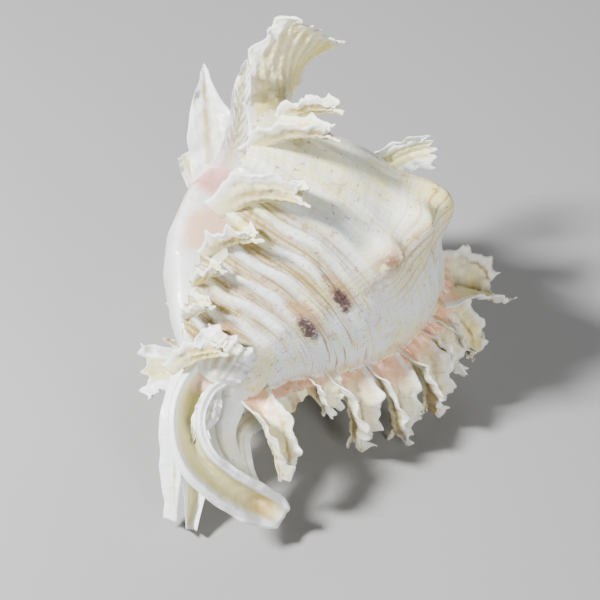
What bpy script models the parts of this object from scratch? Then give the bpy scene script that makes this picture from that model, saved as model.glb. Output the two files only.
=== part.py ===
"""Ramose murex shell: one grown piece, millimetres in, metres out.

Growth is counted in degrees round the coiling axis, 0 at the outer lip and
negative towards the older shell. Level runs along the whorl's outline, 0 at
the suture and 1 at the end of the canal.
"""
import math

import bpy
import bmesh
import numpy as np
from mathutils import Matrix, Vector

# Driving sizes, millimetres and degrees
APEX = 64.0             # height of the tip of the spire
FOOT = -99.0            # height where the closed column under the whorls ends
LIP_AZIMUTH = -32.0     # direction of the outer lip round the axis
VARICES = (0.0, -120.0, -238.0, -428.0, -548.0, -668.0)
VARIX_RISE = 6.5        # height of a varix collar over the whorl
VARIX_SPAN = 30.0       # degrees over which a collar swells
COLUMNS = 46
ROWS = 40
LEVEL_STEPS = 160
REST_DOWN = (-0.9077, 0.4092, -0.0931)   # direction of the floor in shell axes
HEADING = 2.0           # turn about the upright after that, degrees
SHIFT = (-19.95, -10.85, 56.32)   # then moved so that the base is centred at the origin

# Outline of the last whorl at the lip: level, radius, height
OUTLINE = (
    (0.00, 38.0, 27.0),
    (0.07, 51.0, 22.0),
    (0.14, 61.0, 12.0),
    (0.24, 67.0, -4.0),
    (0.36, 66.0, -22.0),
    (0.48, 58.0, -40.0),
    (0.60, 44.0, -56.0),
    (0.72, 31.0, -70.0),
    (0.84, 21.0, -86.0),
    (1.00, 12.0, -118.0),
)
# Growth per turn by level: level, radius and depth rates near the lip,
# then the same two rates in the older shell
RATES = (
    (0.00, 0.36, 0.60, 0.52, 0.56),
    (0.14, 0.26, 0.56, 0.52, 0.56),
    (0.30, 0.24, 0.42, 0.52, 0.50),
    (0.48, 0.28, 0.25, 0.50, 0.38),
    (0.60, 0.26, 0.18, 0.48, 0.28),
    (0.84, 0.15, 0.06, 0.30, 0.10),
    (1.00, 0.10, 0.00, 0.10, 0.00),
)
# Slant of the lip: level, degrees
SLANT = ((0.0, 16.0), (0.14, 14.0), (0.36, 5.0), (0.55, 6.0),
         (0.70, 15.0), (0.85, 17.0), (1.0, 10.0))
# Nodes between varices: growth, level, height, half width in degrees and in level
NODES = (
    (-74.0, 0.12, 18.0, 13.0, 0.070),
    (-70.0, 0.235, 12.0, 9.0, 0.055),
    (-65.0, 0.36, 9.0, 7.0, 0.045),
    (-180.0, 0.14, 12.0, 11.0, 0.055),
    (-176.0, 0.27, 5.0, 8.0, 0.045),
    (-262.0, 0.50, 10.0, 7.0, 0.050),
)
# Inner lip: height and radius of its smooth swelling beside the aperture
INNER_LIP = ((30.0, 44.0), (16.0, 54.0), (2.0, 58.0), (-16.0, 59.0),
             (-36.0, 53.5), (-49.0, 46.0), (-62.0, 34.0), (-80.0, 22.0))


def ramp(low, high, value):
    """Smooth step from 0 at low to 1 at high."""
    t = np.clip((value - low) / (high - low), 0.0, 1.0)
    return t * t * (3.0 - 2.0 * t)


def column(table, index):
    """One column of a table of tuples as an array."""
    return np.array([row[index] for row in table], float)


def smooth_table(levels, table, index):
    """Table value at the levels, eased between the listed points."""
    xs = column(table, 0)
    ys = column(table, index)
    slope = np.gradient(ys, xs)
    k = np.clip(np.searchsorted(xs, levels) - 1, 0, len(xs) - 2)
    h = xs[k + 1] - xs[k]
    t = (levels - xs[k]) / h
    a = (2 * t ** 3 - 3 * t ** 2 + 1) * ys[k]
    b = (t ** 3 - 2 * t ** 2 + t) * h * slope[k]
    c = (-2 * t ** 3 + 3 * t ** 2) * ys[k + 1]
    d = (t ** 3 - t ** 2) * h * slope[k + 1]
    return a + b + c + d


LEVELS = np.linspace(0.0, 1.0, LEVEL_STEPS)
LIP_RADIUS = smooth_table(LEVELS, OUTLINE, 1)
LIP_HEIGHT = smooth_table(LEVELS, OUTLINE, 2)


def growth_factor(growth, levels, index):
    """Shrink factor at a growth angle, for the radius (1) or the depth (2)."""
    near = np.interp(levels, column(RATES, 0), column(RATES, index))
    old = np.interp(levels, column(RATES, 0), column(RATES, index + 2))
    turns_near = max(growth, -120.0) / 360.0
    turns_old = min(growth + 120.0, 0.0) / 360.0
    return np.exp(near * turns_near + old * turns_old)


def whorl_outline(growth):
    """Radius and height along the levels of the whorl at one growth angle."""
    radius = LIP_RADIUS * growth_factor(growth, LEVELS, 1)
    depth = (APEX - LIP_HEIGHT) * growth_factor(growth, LEVELS, 2)
    return radius, APEX - depth


def slant_at(height):
    """Slant of the lip at a height, degrees."""
    by_level = np.interp(LEVELS, column(SLANT, 0), column(SLANT, 1))
    return np.interp(-height, -LIP_HEIGHT, by_level)


def relief(growth, level):
    """Varix collars and nodes over the plain whorl."""
    total = np.zeros_like(level)
    scale = math.exp(0.5 * growth / 360.0)
    for varix in VARICES:
        ahead = growth - varix
        swell = ramp(-VARIX_SPAN, 0.0, ahead) ** 1.5
        drop = 1.0 - ramp(0.0, 3.5, ahead)
        total += VARIX_RISE * scale * swell * drop * ramp(0.0, 0.12, level)
    for place, mid, height, wide, tall in NODES:
        a = (growth - place) / wide
        b = (level - mid) / tall
        total += height * np.exp(-a * a - b * b)
    return total


def body_radius(sweep, heights):
    """Radius of the shell at the heights of one column.

    Args:
        sweep: growth angle of the column on the last whorl, 0 to -360.
        heights: heights, falling.

    Returns:
        The radius at each height.
    """
    radius = np.full(heights.shape, 0.5)
    for turn in range(5):
        growth = sweep - 360.0 * turn
        rs, zs = whorl_outline(growth)
        level = np.interp(-heights, -zs, LEVELS)
        here = np.interp(level, LEVELS, rs) + relief(growth, level)
        here = np.where(heights > zs[0], 0.0, here)
        radius = np.maximum(radius, here)
    azimuth = LIP_AZIMUTH - sweep - slant_at(heights)
    past = 360.0 + sweep
    lip = np.interp(-heights, -column(INNER_LIP, 0), column(INNER_LIP, 1), 0.0, 0.0)
    window = ramp(26.0, 44.0, past) * (1.0 - ramp(74.0, 100.0, past))
    band = ramp(-86.0, -62.0, heights) * (1.0 - ramp(14.0, 32.0, heights))
    radius = radius + np.maximum(lip - radius, 0.0) * window * band
    hollow = (1.0 - ramp(18.0, 36.0, past)) * ramp(-66.0, -50.0, heights)
    hollow = hollow * (1.0 - ramp(-4.0, 10.0, heights))
    radius = radius - np.maximum(radius - 24.0, 0.0) * hollow
    return radius, azimuth


def bend(height):
    """Sideways shift of the axis under the whorls."""
    low = np.clip((-60.0 - height) / 40.0, 0.0, None)
    return 5.0 * low * low


def surface_point(sweep, level):
    """Point on the last whorl, with its azimuth in radians."""
    rs, zs = whorl_outline(sweep)
    height = float(np.interp(level, LEVELS, zs))
    radius, azimuth = body_radius(sweep, np.array([height]))
    angle = math.radians(float(azimuth[0]))
    r = float(radius[0])
    shift = float(bend(np.array([height]))[0])
    return Vector((r * math.cos(angle), r * math.sin(angle) + shift, height)), angle


def new_object(name, points, faces):
    """Mesh object from points in millimetres."""
    mesh = bpy.data.meshes.new(name)
    mesh.from_pydata([tuple(p) for p in points], [], faces)
    obj = bpy.data.objects.new(name, mesh)
    bpy.context.scene.collection.objects.link(obj)
    bm = bmesh.new()
    bm.from_mesh(mesh)
    bmesh.ops.recalc_face_normals(bm, faces=bm.faces)
    bm.to_mesh(mesh)
    bm.free()
    return obj


def sweep_angles(count):
    """Column positions, closer together on the varix collars."""
    marks = [0.0]
    for varix in VARICES[:3]:
        marks += [varix - 20.0, varix - 10.0, varix - 3.0, varix]
        if varix < 0.0:
            marks += [varix + 4.0]
    plain = list(np.linspace(-358.0, -8.0, count - len(marks)))
    spaced = sorted(set(marks))
    for angle in plain:
        if min(abs(angle - m) for m in spaced) > 2.6:
            spaced.append(angle)
    return sorted(spaced, reverse=True)


def body():
    """Closed surface of all whorls, the lip step and the column below."""
    heights = np.linspace(APEX - 2.0, FOOT, ROWS)
    points = []
    angles = sweep_angles(COLUMNS)
    for sweep in angles:
        radius, azimuth = body_radius(sweep, heights)
        radius = radius * (1.0 - 0.35 * ramp(FOOT + 8.0, FOOT, heights))
        rad = np.radians(azimuth)
        xs = radius * np.cos(rad)
        ys = radius * np.sin(rad) + bend(heights)
        points += [Vector(p) for p in zip(xs, ys, heights)]
    top = len(points)
    points.append(Vector((0.0, 0.0, APEX)))
    points.append(Vector((0.0, float(bend(np.array([FOOT]))[0]), FOOT - 3.0)))
    faces = []
    total = len(angles)
    for i in range(total):
        a = i * ROWS
        b = ((i + 1) % total) * ROWS
        for j in range(ROWS - 1):
            faces.append((a + j, a + j + 1, b + j + 1, b + j))
        faces.append((top, a, b))
        faces.append((top + 1, b + ROWS - 1, a + ROWS - 1))
    return new_object("shell", points, faces)


def cavity():
    """Inside of the aperture: a tube that follows the last whorl inwards."""
    stations = [
        (Vector((33.0, -66.0, -24.0)), Vector((21.0, 4.0, 0.0)), 30.0),
        (Vector((34.0, -44.0, -25.0)), Vector((21.0, 4.0, 0.0)), 31.0),
        (Vector((38.0, -28.0, -26.0)), Vector((16.0, -10.5, 0.0)), 31.0),
    ]
    for step in range(1, 13):
        growth = -24.0 * step
        angle = math.radians(LIP_AZIMUTH - 6.0 - growth)
        size = math.exp(0.55 * growth / 360.0)
        centre = Vector((42.0 * size * math.cos(angle), 42.0 * size * math.sin(angle),
                         -24.0 + 24.0 * (1.0 - size)))
        half = 20.0 * size
        stations.append((centre, Vector((half * math.cos(angle), half * math.sin(angle), 0.0)),
                         30.0 * size))
    sides = 16
    points = []
    for index, (centre, across, tall) in enumerate(stations):
        inward = centre.normalized() * (0.3 if index > 2 else 0.0)
        inward.z = 0.0
        for k in range(sides):
            turn = 2.0 * math.pi * k / sides
            low = math.sin(turn) < 0.0
            narrow = 1.0 - 0.25 * max(0.0, -math.sin(turn)) ** 2
            point = centre + across * (math.cos(turn) * narrow)
            rise = tall * math.sin(turn) * (1.08 if low else 1.0)
            point.z += rise
            point += inward * min(rise, 0.0)
            points.append(point)
    faces = []
    last = (len(stations) - 1) * sides
    for i in range(len(stations) - 1):
        for k in range(sides):
            m = (k + 1) % sides
            faces.append((i * sides + k, i * sides + m, (i + 1) * sides + m,
                          (i + 1) * sides + k))
    points.append(stations[0][0])
    points.append(stations[-1][0])
    for k in range(sides):
        m = (k + 1) % sides
        faces.append((len(points) - 2, m, k))
        faces.append((len(points) - 1, last + k, last + m))
    return new_object("aperture_cutter", points, faces)


def leaf(name, rows_in, cols, ruffle, tooth):
    """Closed folded sheet through a list of cross sections.

    Args:
        rows_in: for each section its centre, the directions along, across and
            behind, the half width, the fold depth and the thickness.
        cols: points across the sheet.
        ruffle: height of the waves along the margins.
        tooth: length of the teeth on the far edge.
    """
    outer = []
    inner = []
    rows = len(rows_in)
    for i, (spot, along, across, behind, half, deep, thick) in enumerate(rows_in):
        t = i / (rows - 1)
        for j in range(cols):
            v = -1.0 + 2.0 * j / (cols - 1)
            wave = ruffle * t * v * v * math.sin(9.1 * t + 1.7 * j + 3.0 * half)
            point = spot + across * (half * v) - behind * (deep * abs(v) ** 1.6 + wave)
            if i == rows - 1:
                point = point + along * (tooth * math.cos(math.pi * (cols - 1) * v / 2.0))
            outer.append(point)
            inner.append(point - behind * (thick * (1.0 - 0.45 * abs(v))))
    faces = []
    count = rows * cols
    for i in range(rows - 1):
        for j in range(cols - 1):
            a = i * cols + j
            faces.append((a, a + 1, a + cols + 1, a + cols))
            b = a + count
            faces.append((b, b + cols, b + cols + 1, b + 1))
    for i in range(rows - 1):
        a = i * cols
        faces.append((a, a + cols, a + cols + count, a + count))
        a = i * cols + cols - 1
        faces.append((a, a + count, a + cols + count, a + cols))
    for j in range(cols - 1):
        faces.append((j, j + count, j + 1 + count, j + 1))
        a = (rows - 1) * cols + j
        faces.append((a, a + 1, a + 1 + count, a + count))
    return new_object(name, outer + inner, faces)


def varix_frond(name, spec, rows, cols):
    """Frond rooted on the last whorl, curling back from the aperture side.

    Args:
        spec: growth, level, raise angle towards the apex, length, half width at
            root, waist and tip, fold depth, lean at the root, further curl and
            its power, ruffle, tooth.
    """
    sweep, level, lift, length, root, waist, tip, fold, lean, curl, power, ruffle, tooth = spec
    base, azimuth = surface_point(sweep, level)
    radial = Vector((math.cos(azimuth), math.sin(azimuth), 0.0))
    upright = Vector((0.0, 0.0, 1.0))
    back = Vector((-math.sin(azimuth), math.cos(azimuth), 0.0))
    tilt = math.radians(lift)
    out = radial * math.cos(tilt) + upright * math.sin(tilt)
    across = upright * math.cos(tilt) - radial * math.sin(tilt)
    buried = 4.0 + 0.45 * root
    spot = base - out * buried
    stride = (length + buried) / (rows - 1)
    sections = []
    for i in range(rows):
        t = i / (rows - 1)
        angle = math.radians(lean + curl * t ** power)
        along = out * math.cos(angle) + back * math.sin(angle)
        behind = back * math.cos(angle) - out * math.sin(angle)
        if i > 0:
            spot = spot + along * stride
        if t < 0.5:
            half = root + (waist - root) * (t / 0.5)
        else:
            half = waist + (tip - waist) * ((t - 0.5) / 0.5) ** 1.3
        sections.append((spot, along, across, behind, half, fold * (1.0 - 0.3 * t),
                         2.8 * (1.0 - 0.5 * t)))
    return leaf(name, sections, cols, ruffle, tooth)


def curve_point(path, t):
    """Point on a smooth curve through the path, t from 0 to 1."""
    place = t * (len(path) - 1)
    k = min(int(place), len(path) - 2)
    f = place - k
    p1 = Vector(path[k])
    p2 = Vector(path[k + 1])
    p0 = Vector(path[k - 1]) if k > 0 else p1 * 2.0 - p2
    p3 = Vector(path[k + 2]) if k + 2 < len(path) else p2 * 2.0 - p1
    return 0.5 * (2.0 * p1 + (p2 - p0) * f + (2.0 * p0 - 5.0 * p1 + 4.0 * p2 - p3) * f * f
                  + (3.0 * p1 - p0 - 3.0 * p2 + p3) * f ** 3)


def channel(name, path, facing, halves, fold, thick, rows, cols, ruffle=0.6, tooth=0.5):
    """Open channel along a path, its mouth turned to the facing direction."""
    face = Vector(facing).normalized()
    sections = []
    for i in range(rows):
        t = i / (rows - 1)
        spot = curve_point(path, t)
        along = (curve_point(path, min(t + 0.02, 1.0)) - curve_point(path, max(t - 0.02, 0.0)))
        along.normalize()
        behind = -(face - along * face.dot(along)).normalized()
        across = behind.cross(along)
        place = t * (len(halves) - 1)
        half = float(np.interp(place, range(len(halves)), halves))
        sections.append((spot, along, across, behind, half, fold, thick * (1.0 - 0.35 * t)))
    return leaf(name, sections, cols, ruffle, tooth)


# Growth, level, raise angle, length, half width at root, waist and tip, fold,
# lean, curl, power of the curl, ruffle, tooth
FRONDS = {
    "lip": (
        (-3.0, 0.12, 48.0, 42.0, 21.0, 21.0, 17.0, 10.0, -12.0, 100.0, 2.8, 0.8, 2.0),
        (-3.0, 0.15, 26.0, 25.0, 9.0, 6.0, 5.0, 4.0, 50.0, 40.0, 1.2, 1.5, 2.0),
        (-1.0, 0.30, 22.0, 31.0, 11.0, 7.0, 5.0, 4.0, 45.0, 45.0, 1.0, 1.5, 2.0),
        (-1.0, 0.48, 46.0, 27.0, 13.0, 9.0, 5.0, 6.0, 40.0, 50.0, 1.0, 1.5, 2.0),
        (-1.0, 0.59, 30.0, 18.0, 8.0, 6.0, 5.0, 4.0, 40.0, 40.0, 1.0, 1.5, 2.0),
        (-1.0, 0.68, 10.0, 12.0, 6.0, 5.0, 4.0, 3.0, 35.0, 40.0, 1.0, 1.0, 1.5),
        (-1.0, 0.77, 10.0, 10.0, 6.0, 5.0, 4.0, 3.0, 35.0, 40.0, 1.0, 1.0, 1.5),
        (-1.0, 0.88, 50.0, 27.0, 9.0, 7.0, 7.0, 5.0, 45.0, 35.0, 1.0, 1.5, 2.0),
    ),
    "back": (
        (-121.0, 0.145, 50.0, 27.0, 15.0, 13.0, 13.0, 6.0, 8.0, 36.0, 1.3, 1.0, 3.0),
        (-121.0, 0.24, 2.0, 21.0, 9.0, 8.0, 7.0, 5.0, 10.0, 50.0, 1.3, 1.5, 2.5),
        (-121.0, 0.30, -24.0, 18.0, 7.0, 6.0, 5.0, 5.0, 10.0, 50.0, 1.3, 1.5, 2.5),
        (-121.0, 0.36, -32.0, 28.0, 9.0, 8.0, 6.0, 6.0, 10.0, 60.0, 1.3, 1.5, 2.5),
        (-121.0, 0.45, -40.0, 33.0, 9.0, 8.0, 5.0, 6.0, 10.0, 65.0, 1.3, 1.5, 2.5),
        (-121.0, 0.57, -36.0, 31.0, 10.0, 8.0, 4.0, 6.0, 10.0, 65.0, 1.3, 1.5, 2.5),
        (-121.0, 0.66, -34.0, 11.0, 7.0, 6.0, 5.0, 4.0, 10.0, 50.0, 1.3, 1.0, 1.5),
        (-121.0, 0.83, -40.0, 34.0, 7.0, 5.5, 4.5, 5.0, 0.0, 60.0, 1.3, 1.0, 2.0),
    ),
    "third": (
        (-239.0, 0.13, 40.0, 42.0, 15.0, 10.0, 12.0, 6.0, 0.0, 70.0, 1.5, 2.0, 2.0),
        (-239.0, 0.28, 8.0, 30.0, 10.0, 8.0, 8.0, 6.0, 10.0, 60.0, 1.3, 1.5, 2.5),
        (-239.0, 0.42, -10.0, 30.0, 9.0, 7.0, 7.0, 6.0, 10.0, 60.0, 1.3, 1.5, 2.5),
        (-239.0, 0.56, -20.0, 19.0, 9.0, 7.0, 7.0, 6.0, 10.0, 60.0, 1.3, 1.5, 2.5),
        (-239.0, 0.72, -30.0, 15.0, 8.0, 7.0, 7.0, 6.0, 10.0, 50.0, 1.3, 1.5, 2.5),
    ),
}
# Canal spouts and single spines: path, facing, half widths, fold, thickness, rows, columns
CHANNELS = {
    "canal_spout": (((2.0, 0.0, -78.0), (0.0, 8.0, -98.0), (-2.0, 17.0, -110.0),
                     (-8.2, 31.7, -111.6), (-13.9, 44.7, -107.6), (-19.1, 53.8, -100.8)),
                    (0.8, 0.25, -0.5), (12.0, 10.0, 8.5, 7.5, 7.0, 5.0), 7.0, 3.0, 10, 7),
    "old_canal_blade": (((-3.0, -8.0, -80.0), (-10.7, 0.7, -101.0), (-20.2, 13.2, -115.5),
                         (-31.0, 26.0, -128.5)),
                        (0.6, -0.7, 0.2), (8.0, 6.5, 5.5, 4.0), 2.5, 3.2, 6, 5),
    "old_canal_groove": (((-6.0, 2.0, -88.0), (-14.7, 8.0, -101.0), (-21.5, 18.8, -110.2),
                          (-34.3, 31.9, -126.3)),
                         (0.8, 0.3, -0.5), (9.0, 8.0, 6.5, 2.5), 7.0, 2.6, 6, 5),
    "canal_arch": (((-1.0, 16.0, -74.0), (-2.0, 25.0, -82.0), (-2.3, 25.0, -93.0),
                    (-6.3, 33.7, -101.5), (-12.3, 45.2, -104.5)),
                   (-0.8, 0.2, 0.5), (6.0, 5.0, 4.0, 4.0, 3.0), 2.0, 3.0, 8, 5),
    "left_fan": (((-12.0, -1.0, -76.0), (-20.7, -8.9, -77.8), (-27.2, -17.2, -78.5),
                  (-34.0, -23.0, -81.0)),
                 (0.85, -0.1, -0.5), (7.0, 8.0, 10.0, 12.0), 4.0, 2.4, 6, 7),
    "blade_spine": (((-5.0, -40.0, 1.0), (0.0, -57.6, 9.0), (4.4, -73.8, 20.9),
                     (7.1, -89.5, 38.0)),
                    (0.85, 0.0, -0.5), (13.0, 11.0, 8.5, 3.5), 2.0, 3.6, 7, 5),
    "parietal_lobe": (((-4.0, -46.0, -4.0), (-6.0, -60.0, -1.0), (-5.4, -71.1, 2.9)),
                      (0.6, 0.5, -0.6), (8.0, 6.5, 4.5), 4.5, 3.0, 5, 5),
    "spire_spine": (((6.0, 0.0, 44.0), (20.0, 2.9, 49.1), (34.0, 8.3, 52.4),
                     (44.6, 16.0, 54.0)),
                    (0.7, 0.2, -0.7), (11.0, 9.0, 7.5, 7.0), 4.5, 2.6, 7, 7),
}


def build():
    """The whole shell as one solid, resting on the floor."""
    shell = body()
    steps = [("DIFFERENCE", cavity())]
    for tag, table in FRONDS.items():
        for index, spec in enumerate(table):
            rows, cols = (9, 7) if spec[4] > 20.0 else (6, 5)
            steps.append(("UNION", varix_frond(f"{tag}_frond_{index + 1}", spec, rows, cols)))
    for tag, (path, facing, halves, fold, thick, rows, cols) in CHANNELS.items():
        steps.append(("UNION", channel(tag, path, facing, halves, fold, thick, rows, cols)))
    for number, (operation, other) in enumerate(steps):
        other.hide_render = True
        other.display_type = "WIRE"
        cut = shell.modifiers.new(f"step_{number}", "BOOLEAN")
        cut.operation = operation
        cut.object = other
        cut.solver = "MANIFOLD"
    return shell


def main():
    """Clear the scene and build the part."""
    for old in list(bpy.data.objects):
        bpy.data.objects.remove(old, do_unlink=True)
    shell = build()
    down = Vector(REST_DOWN).normalized()
    turn = down.rotation_difference(Vector((0.0, 0.0, -1.0))).to_matrix().to_4x4()
    place = Matrix.Rotation(math.radians(HEADING), 4, "Z") @ turn
    place = Matrix.Translation(Vector(SHIFT)) @ place
    scale = Matrix.Scale(0.001, 4)
    for obj in bpy.data.objects:
        obj.data.transform(scale @ place)
    finish(shell)
    return shell


def finish(shell):
    """Own material and smooth shading."""
    paint = bpy.data.materials.new("glazed_shell")
    paint.use_nodes = True
    glaze = paint.node_tree.nodes["Principled BSDF"]
    glaze.inputs["Base Color"].default_value = (0.80, 0.74, 0.64, 1.0)
    glaze.inputs["Roughness"].default_value = 0.38
    for obj in bpy.data.objects:
        obj.data.materials.append(paint)
        for face in obj.data.polygons:
            face.use_smooth = True


main()
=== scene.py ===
"""Dresses the ramose murex shell: fine whorls, frilled fronds and glazed finishes.

Lengths are millimetres in shell axes (Z along the coiling axis towards the spire,
X towards the camera) until a piece is placed in the row frame, in metres.
Growth is counted in degrees round the axis, 0 at the outer lip and negative
towards the older shell; level runs from 0 at the suture to 1 at the canal's end.
"""

import logging
import math
from dataclasses import dataclass, field, replace
from enum import Enum
from typing import Sequence

import bpy
import numpy as np
from mathutils import Matrix, Vector


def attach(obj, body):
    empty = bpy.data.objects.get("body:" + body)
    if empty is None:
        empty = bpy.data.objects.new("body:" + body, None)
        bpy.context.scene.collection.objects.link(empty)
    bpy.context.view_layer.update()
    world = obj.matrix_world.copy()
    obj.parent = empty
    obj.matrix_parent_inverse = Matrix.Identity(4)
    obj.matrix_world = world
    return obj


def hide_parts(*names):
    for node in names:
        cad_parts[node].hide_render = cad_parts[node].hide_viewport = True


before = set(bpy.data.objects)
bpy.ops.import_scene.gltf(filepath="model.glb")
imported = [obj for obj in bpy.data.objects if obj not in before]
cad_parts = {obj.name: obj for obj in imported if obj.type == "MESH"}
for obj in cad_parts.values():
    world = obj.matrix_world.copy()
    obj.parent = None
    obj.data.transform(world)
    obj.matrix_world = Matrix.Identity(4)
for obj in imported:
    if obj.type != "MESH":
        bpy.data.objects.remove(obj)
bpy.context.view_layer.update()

LOG = logging.getLogger("shell")
Table = Sequence[Sequence[float]]
Point = tuple[float, float, float]
Color = tuple[float, float, float]
Faces = list[tuple[int, ...]]
Grid = np.ndarray | float
Socket = bpy.types.NodeSocket

# degrees in one whorl, and the range that random phases are drawn from
TURN = 360.0
PHASES = 6.28
UPRIGHT = Vector((0.0, 0.0, 1.0))
# directions in shell axes towards the photograph's camera and away from it
TO_CAMERA = (0.839, 0.0, -0.545)
FROM_CAMERA = (-0.839, 0.0, 0.545)


def ramp(low: float, high: float, value: np.ndarray) -> np.ndarray:
    """Smooth step from 0 at low to 1 at high."""
    t = np.clip((value - low) / (high - low), 0.0, 1.0)
    return t * t * (3.0 - 2.0 * t)


def fall(low: float, high: float, value: np.ndarray) -> np.ndarray:
    """Smooth step from 1 at low to 0 at high."""
    return 1.0 - ramp(low, high, value)


def window(value: np.ndarray, spans: Table) -> np.ndarray:
    """1 between the two spans, rising over the first and falling over the second."""
    return ramp(*spans[0], value) * fall(*spans[1], value)


def column(table: Table, index: int) -> np.ndarray:
    """One column of a table of tuples as an array."""
    return np.array([row[index] for row in table], float)


def smooth_table(xs_at: np.ndarray, table: Table, index: int) -> np.ndarray:
    """Table values at the given places, eased between the listed points.

    Args:
        xs_at: places to read.
        table: rows whose first entry is the place.
        index: which entry to read.

    Returns:
        One value for each place.
    """
    xs = column(table, 0)
    ys = column(table, index)
    slope = np.gradient(ys, xs)
    k = np.clip(np.searchsorted(xs, xs_at) - 1, 0, len(xs) - 2)
    h = xs[k + 1] - xs[k]
    t = (xs_at - xs[k]) / h
    return ((2 * t ** 3 - 3 * t ** 2 + 1) * ys[k] + (t ** 3 - 2 * t ** 2 + t) * h * slope[k]
            + (-2 * t ** 3 + 3 * t ** 2) * ys[k + 1] + (t ** 3 - t ** 2) * h * slope[k + 1])


def hills(growth: float, level: np.ndarray, table: Table) -> np.ndarray:
    """Sum of soft hills over one growth angle.

    Args:
        growth: growth angle, degrees.
        level: levels to read.
        table: growth, level, height, half width in degrees and in level of each hill.

    Returns:
        Added radius for each level.
    """
    total = np.zeros_like(level)
    for place, mid, height, wide, tall in table:
        total += height * np.exp(-((growth - place) / wide) ** 2 - ((level - mid) / tall) ** 2)
    return total


@dataclass(frozen=True)
class ShellForm:
    """Sizes that the whorls grow by, the same as in the solid."""

    apex: float = 64.0
    foot: float = -99.0
    lip_azimuth: float = -32.0
    turns: int = 6
    thinnest: float = 0.5
    hollow_radius: float = 24.0
    lip_round: Table = ((26.0, 44.0), (74.0, 100.0))
    lip_tall: Table = ((-86.0, -62.0), (14.0, 32.0))
    glaze_end: tuple[float, float] = (80.0, 104.0)
    glaze_tall: Table = ((-92.0, -74.0), (24.0, 36.0))
    hollow_end: tuple[float, float] = (18.0, 36.0)
    hollow_tall: Table = ((-66.0, -50.0), (-4.0, 10.0))
    oldest: float = -1800.0
    varices: tuple[float, ...] = (0.0, -120.0, -238.0, -428.0, -548.0, -668.0)
    varix_rise: float = 6.5
    varix_span: float = 30.0
    varix_step: float = 3.5
    bend_from: float = -60.0
    outline: Table = (
        (0.00, 38.0, 27.0), (0.07, 51.0, 22.0), (0.14, 61.0, 12.0), (0.24, 67.0, -4.0),
        (0.36, 66.0, -22.0), (0.48, 58.0, -40.0), (0.60, 44.0, -56.0), (0.72, 31.0, -70.0),
        (0.84, 21.0, -86.0), (1.00, 12.0, -118.0),
    )
    rates: Table = (
        (0.00, 0.36, 0.60, 0.52, 0.56), (0.14, 0.26, 0.56, 0.52, 0.56),
        (0.30, 0.24, 0.42, 0.52, 0.50), (0.48, 0.28, 0.25, 0.50, 0.38),
        (0.60, 0.26, 0.18, 0.48, 0.28), (0.84, 0.15, 0.06, 0.30, 0.10),
        (1.00, 0.10, 0.00, 0.10, 0.00),
    )
    slant: Table = ((0.0, 16.0), (0.14, 14.0), (0.36, 5.0), (0.55, 6.0),
                    (0.70, 15.0), (0.85, 17.0), (1.0, 10.0))
    nodes: Table = (
        (-73.0, 0.125, 18.0, 13.0, 0.070), (-68.0, 0.25, 12.0, 8.0, 0.050),
        (-64.0, 0.385, 11.0, 6.5, 0.042), (-180.0, 0.14, 12.0, 11.0, 0.055),
        (-176.0, 0.27, 5.0, 8.0, 0.045), (-262.0, 0.50, 10.0, 7.0, 0.050),
    )
    inner_lip: Table = ((30.0, 44.0), (16.0, 54.0), (2.0, 58.0), (-16.0, 59.0),
                        (-36.0, 53.5), (-49.0, 46.0), (-62.0, 34.0), (-80.0, 22.0))
    levels: np.ndarray = field(default_factory=lambda: np.linspace(0.0, 1.0, 160))

    def outline_at(self, growth: float) -> tuple[np.ndarray, np.ndarray]:
        """Outline of the whorl at one growth angle.

        Args:
            growth: growth angle, degrees.

        Returns:
            Radius and height along the levels.
        """
        near = max(growth, self.varices[1]) / TURN
        old = min(growth - self.varices[1], 0.0) / TURN
        place = column(self.rates, 0)

        def shrink(first: int) -> np.ndarray:
            """Shrink factor by level for the radius (1) or the depth (2)."""
            return np.exp(np.interp(self.levels, place, column(self.rates, first)) * near
                          + np.interp(self.levels, place, column(self.rates, first + 2)) * old)

        radius = smooth_table(self.levels, self.outline, 1) * shrink(1)
        height = smooth_table(self.levels, self.outline, 2)
        return radius, self.apex - (self.apex - height) * shrink(2)

    def slant_at(self, height: np.ndarray) -> np.ndarray:
        """Slant of the lip at a height, degrees.

        Args:
            height: heights along the axis, millimetres.

        Returns:
            The slant at each height.
        """
        by_level = np.interp(self.levels, column(self.slant, 0), column(self.slant, 1))
        lip = smooth_table(self.levels, self.outline, 2)
        return np.interp(-height, -lip, by_level)

    def collar(self, growth: float, level: np.ndarray) -> np.ndarray:
        """Height of the varix collars over the plain whorl.

        Args:
            growth: growth angle, degrees.
            level: levels to read.

        Returns:
            Added radius for each level.
        """
        total = np.zeros_like(level)
        scale = np.exp(0.5 * np.asarray(growth) / TURN)
        for varix in self.varices:
            ahead = np.asarray(growth) - varix
            swell = ramp(-self.varix_span, 0.0, ahead) ** 1.5
            total = total + (self.varix_rise * scale * swell * fall(0.0, self.varix_step, ahead)
                             * ramp(0.0, 0.12, level))
        return total

    def bend(self, height: Grid) -> np.ndarray:
        """Sideways shift of the axis under the whorls."""
        return 5.0 * np.clip((self.bend_from - np.asarray(height)) / 40.0, 0.0, None) ** 2


FORM = ShellForm()


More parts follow.
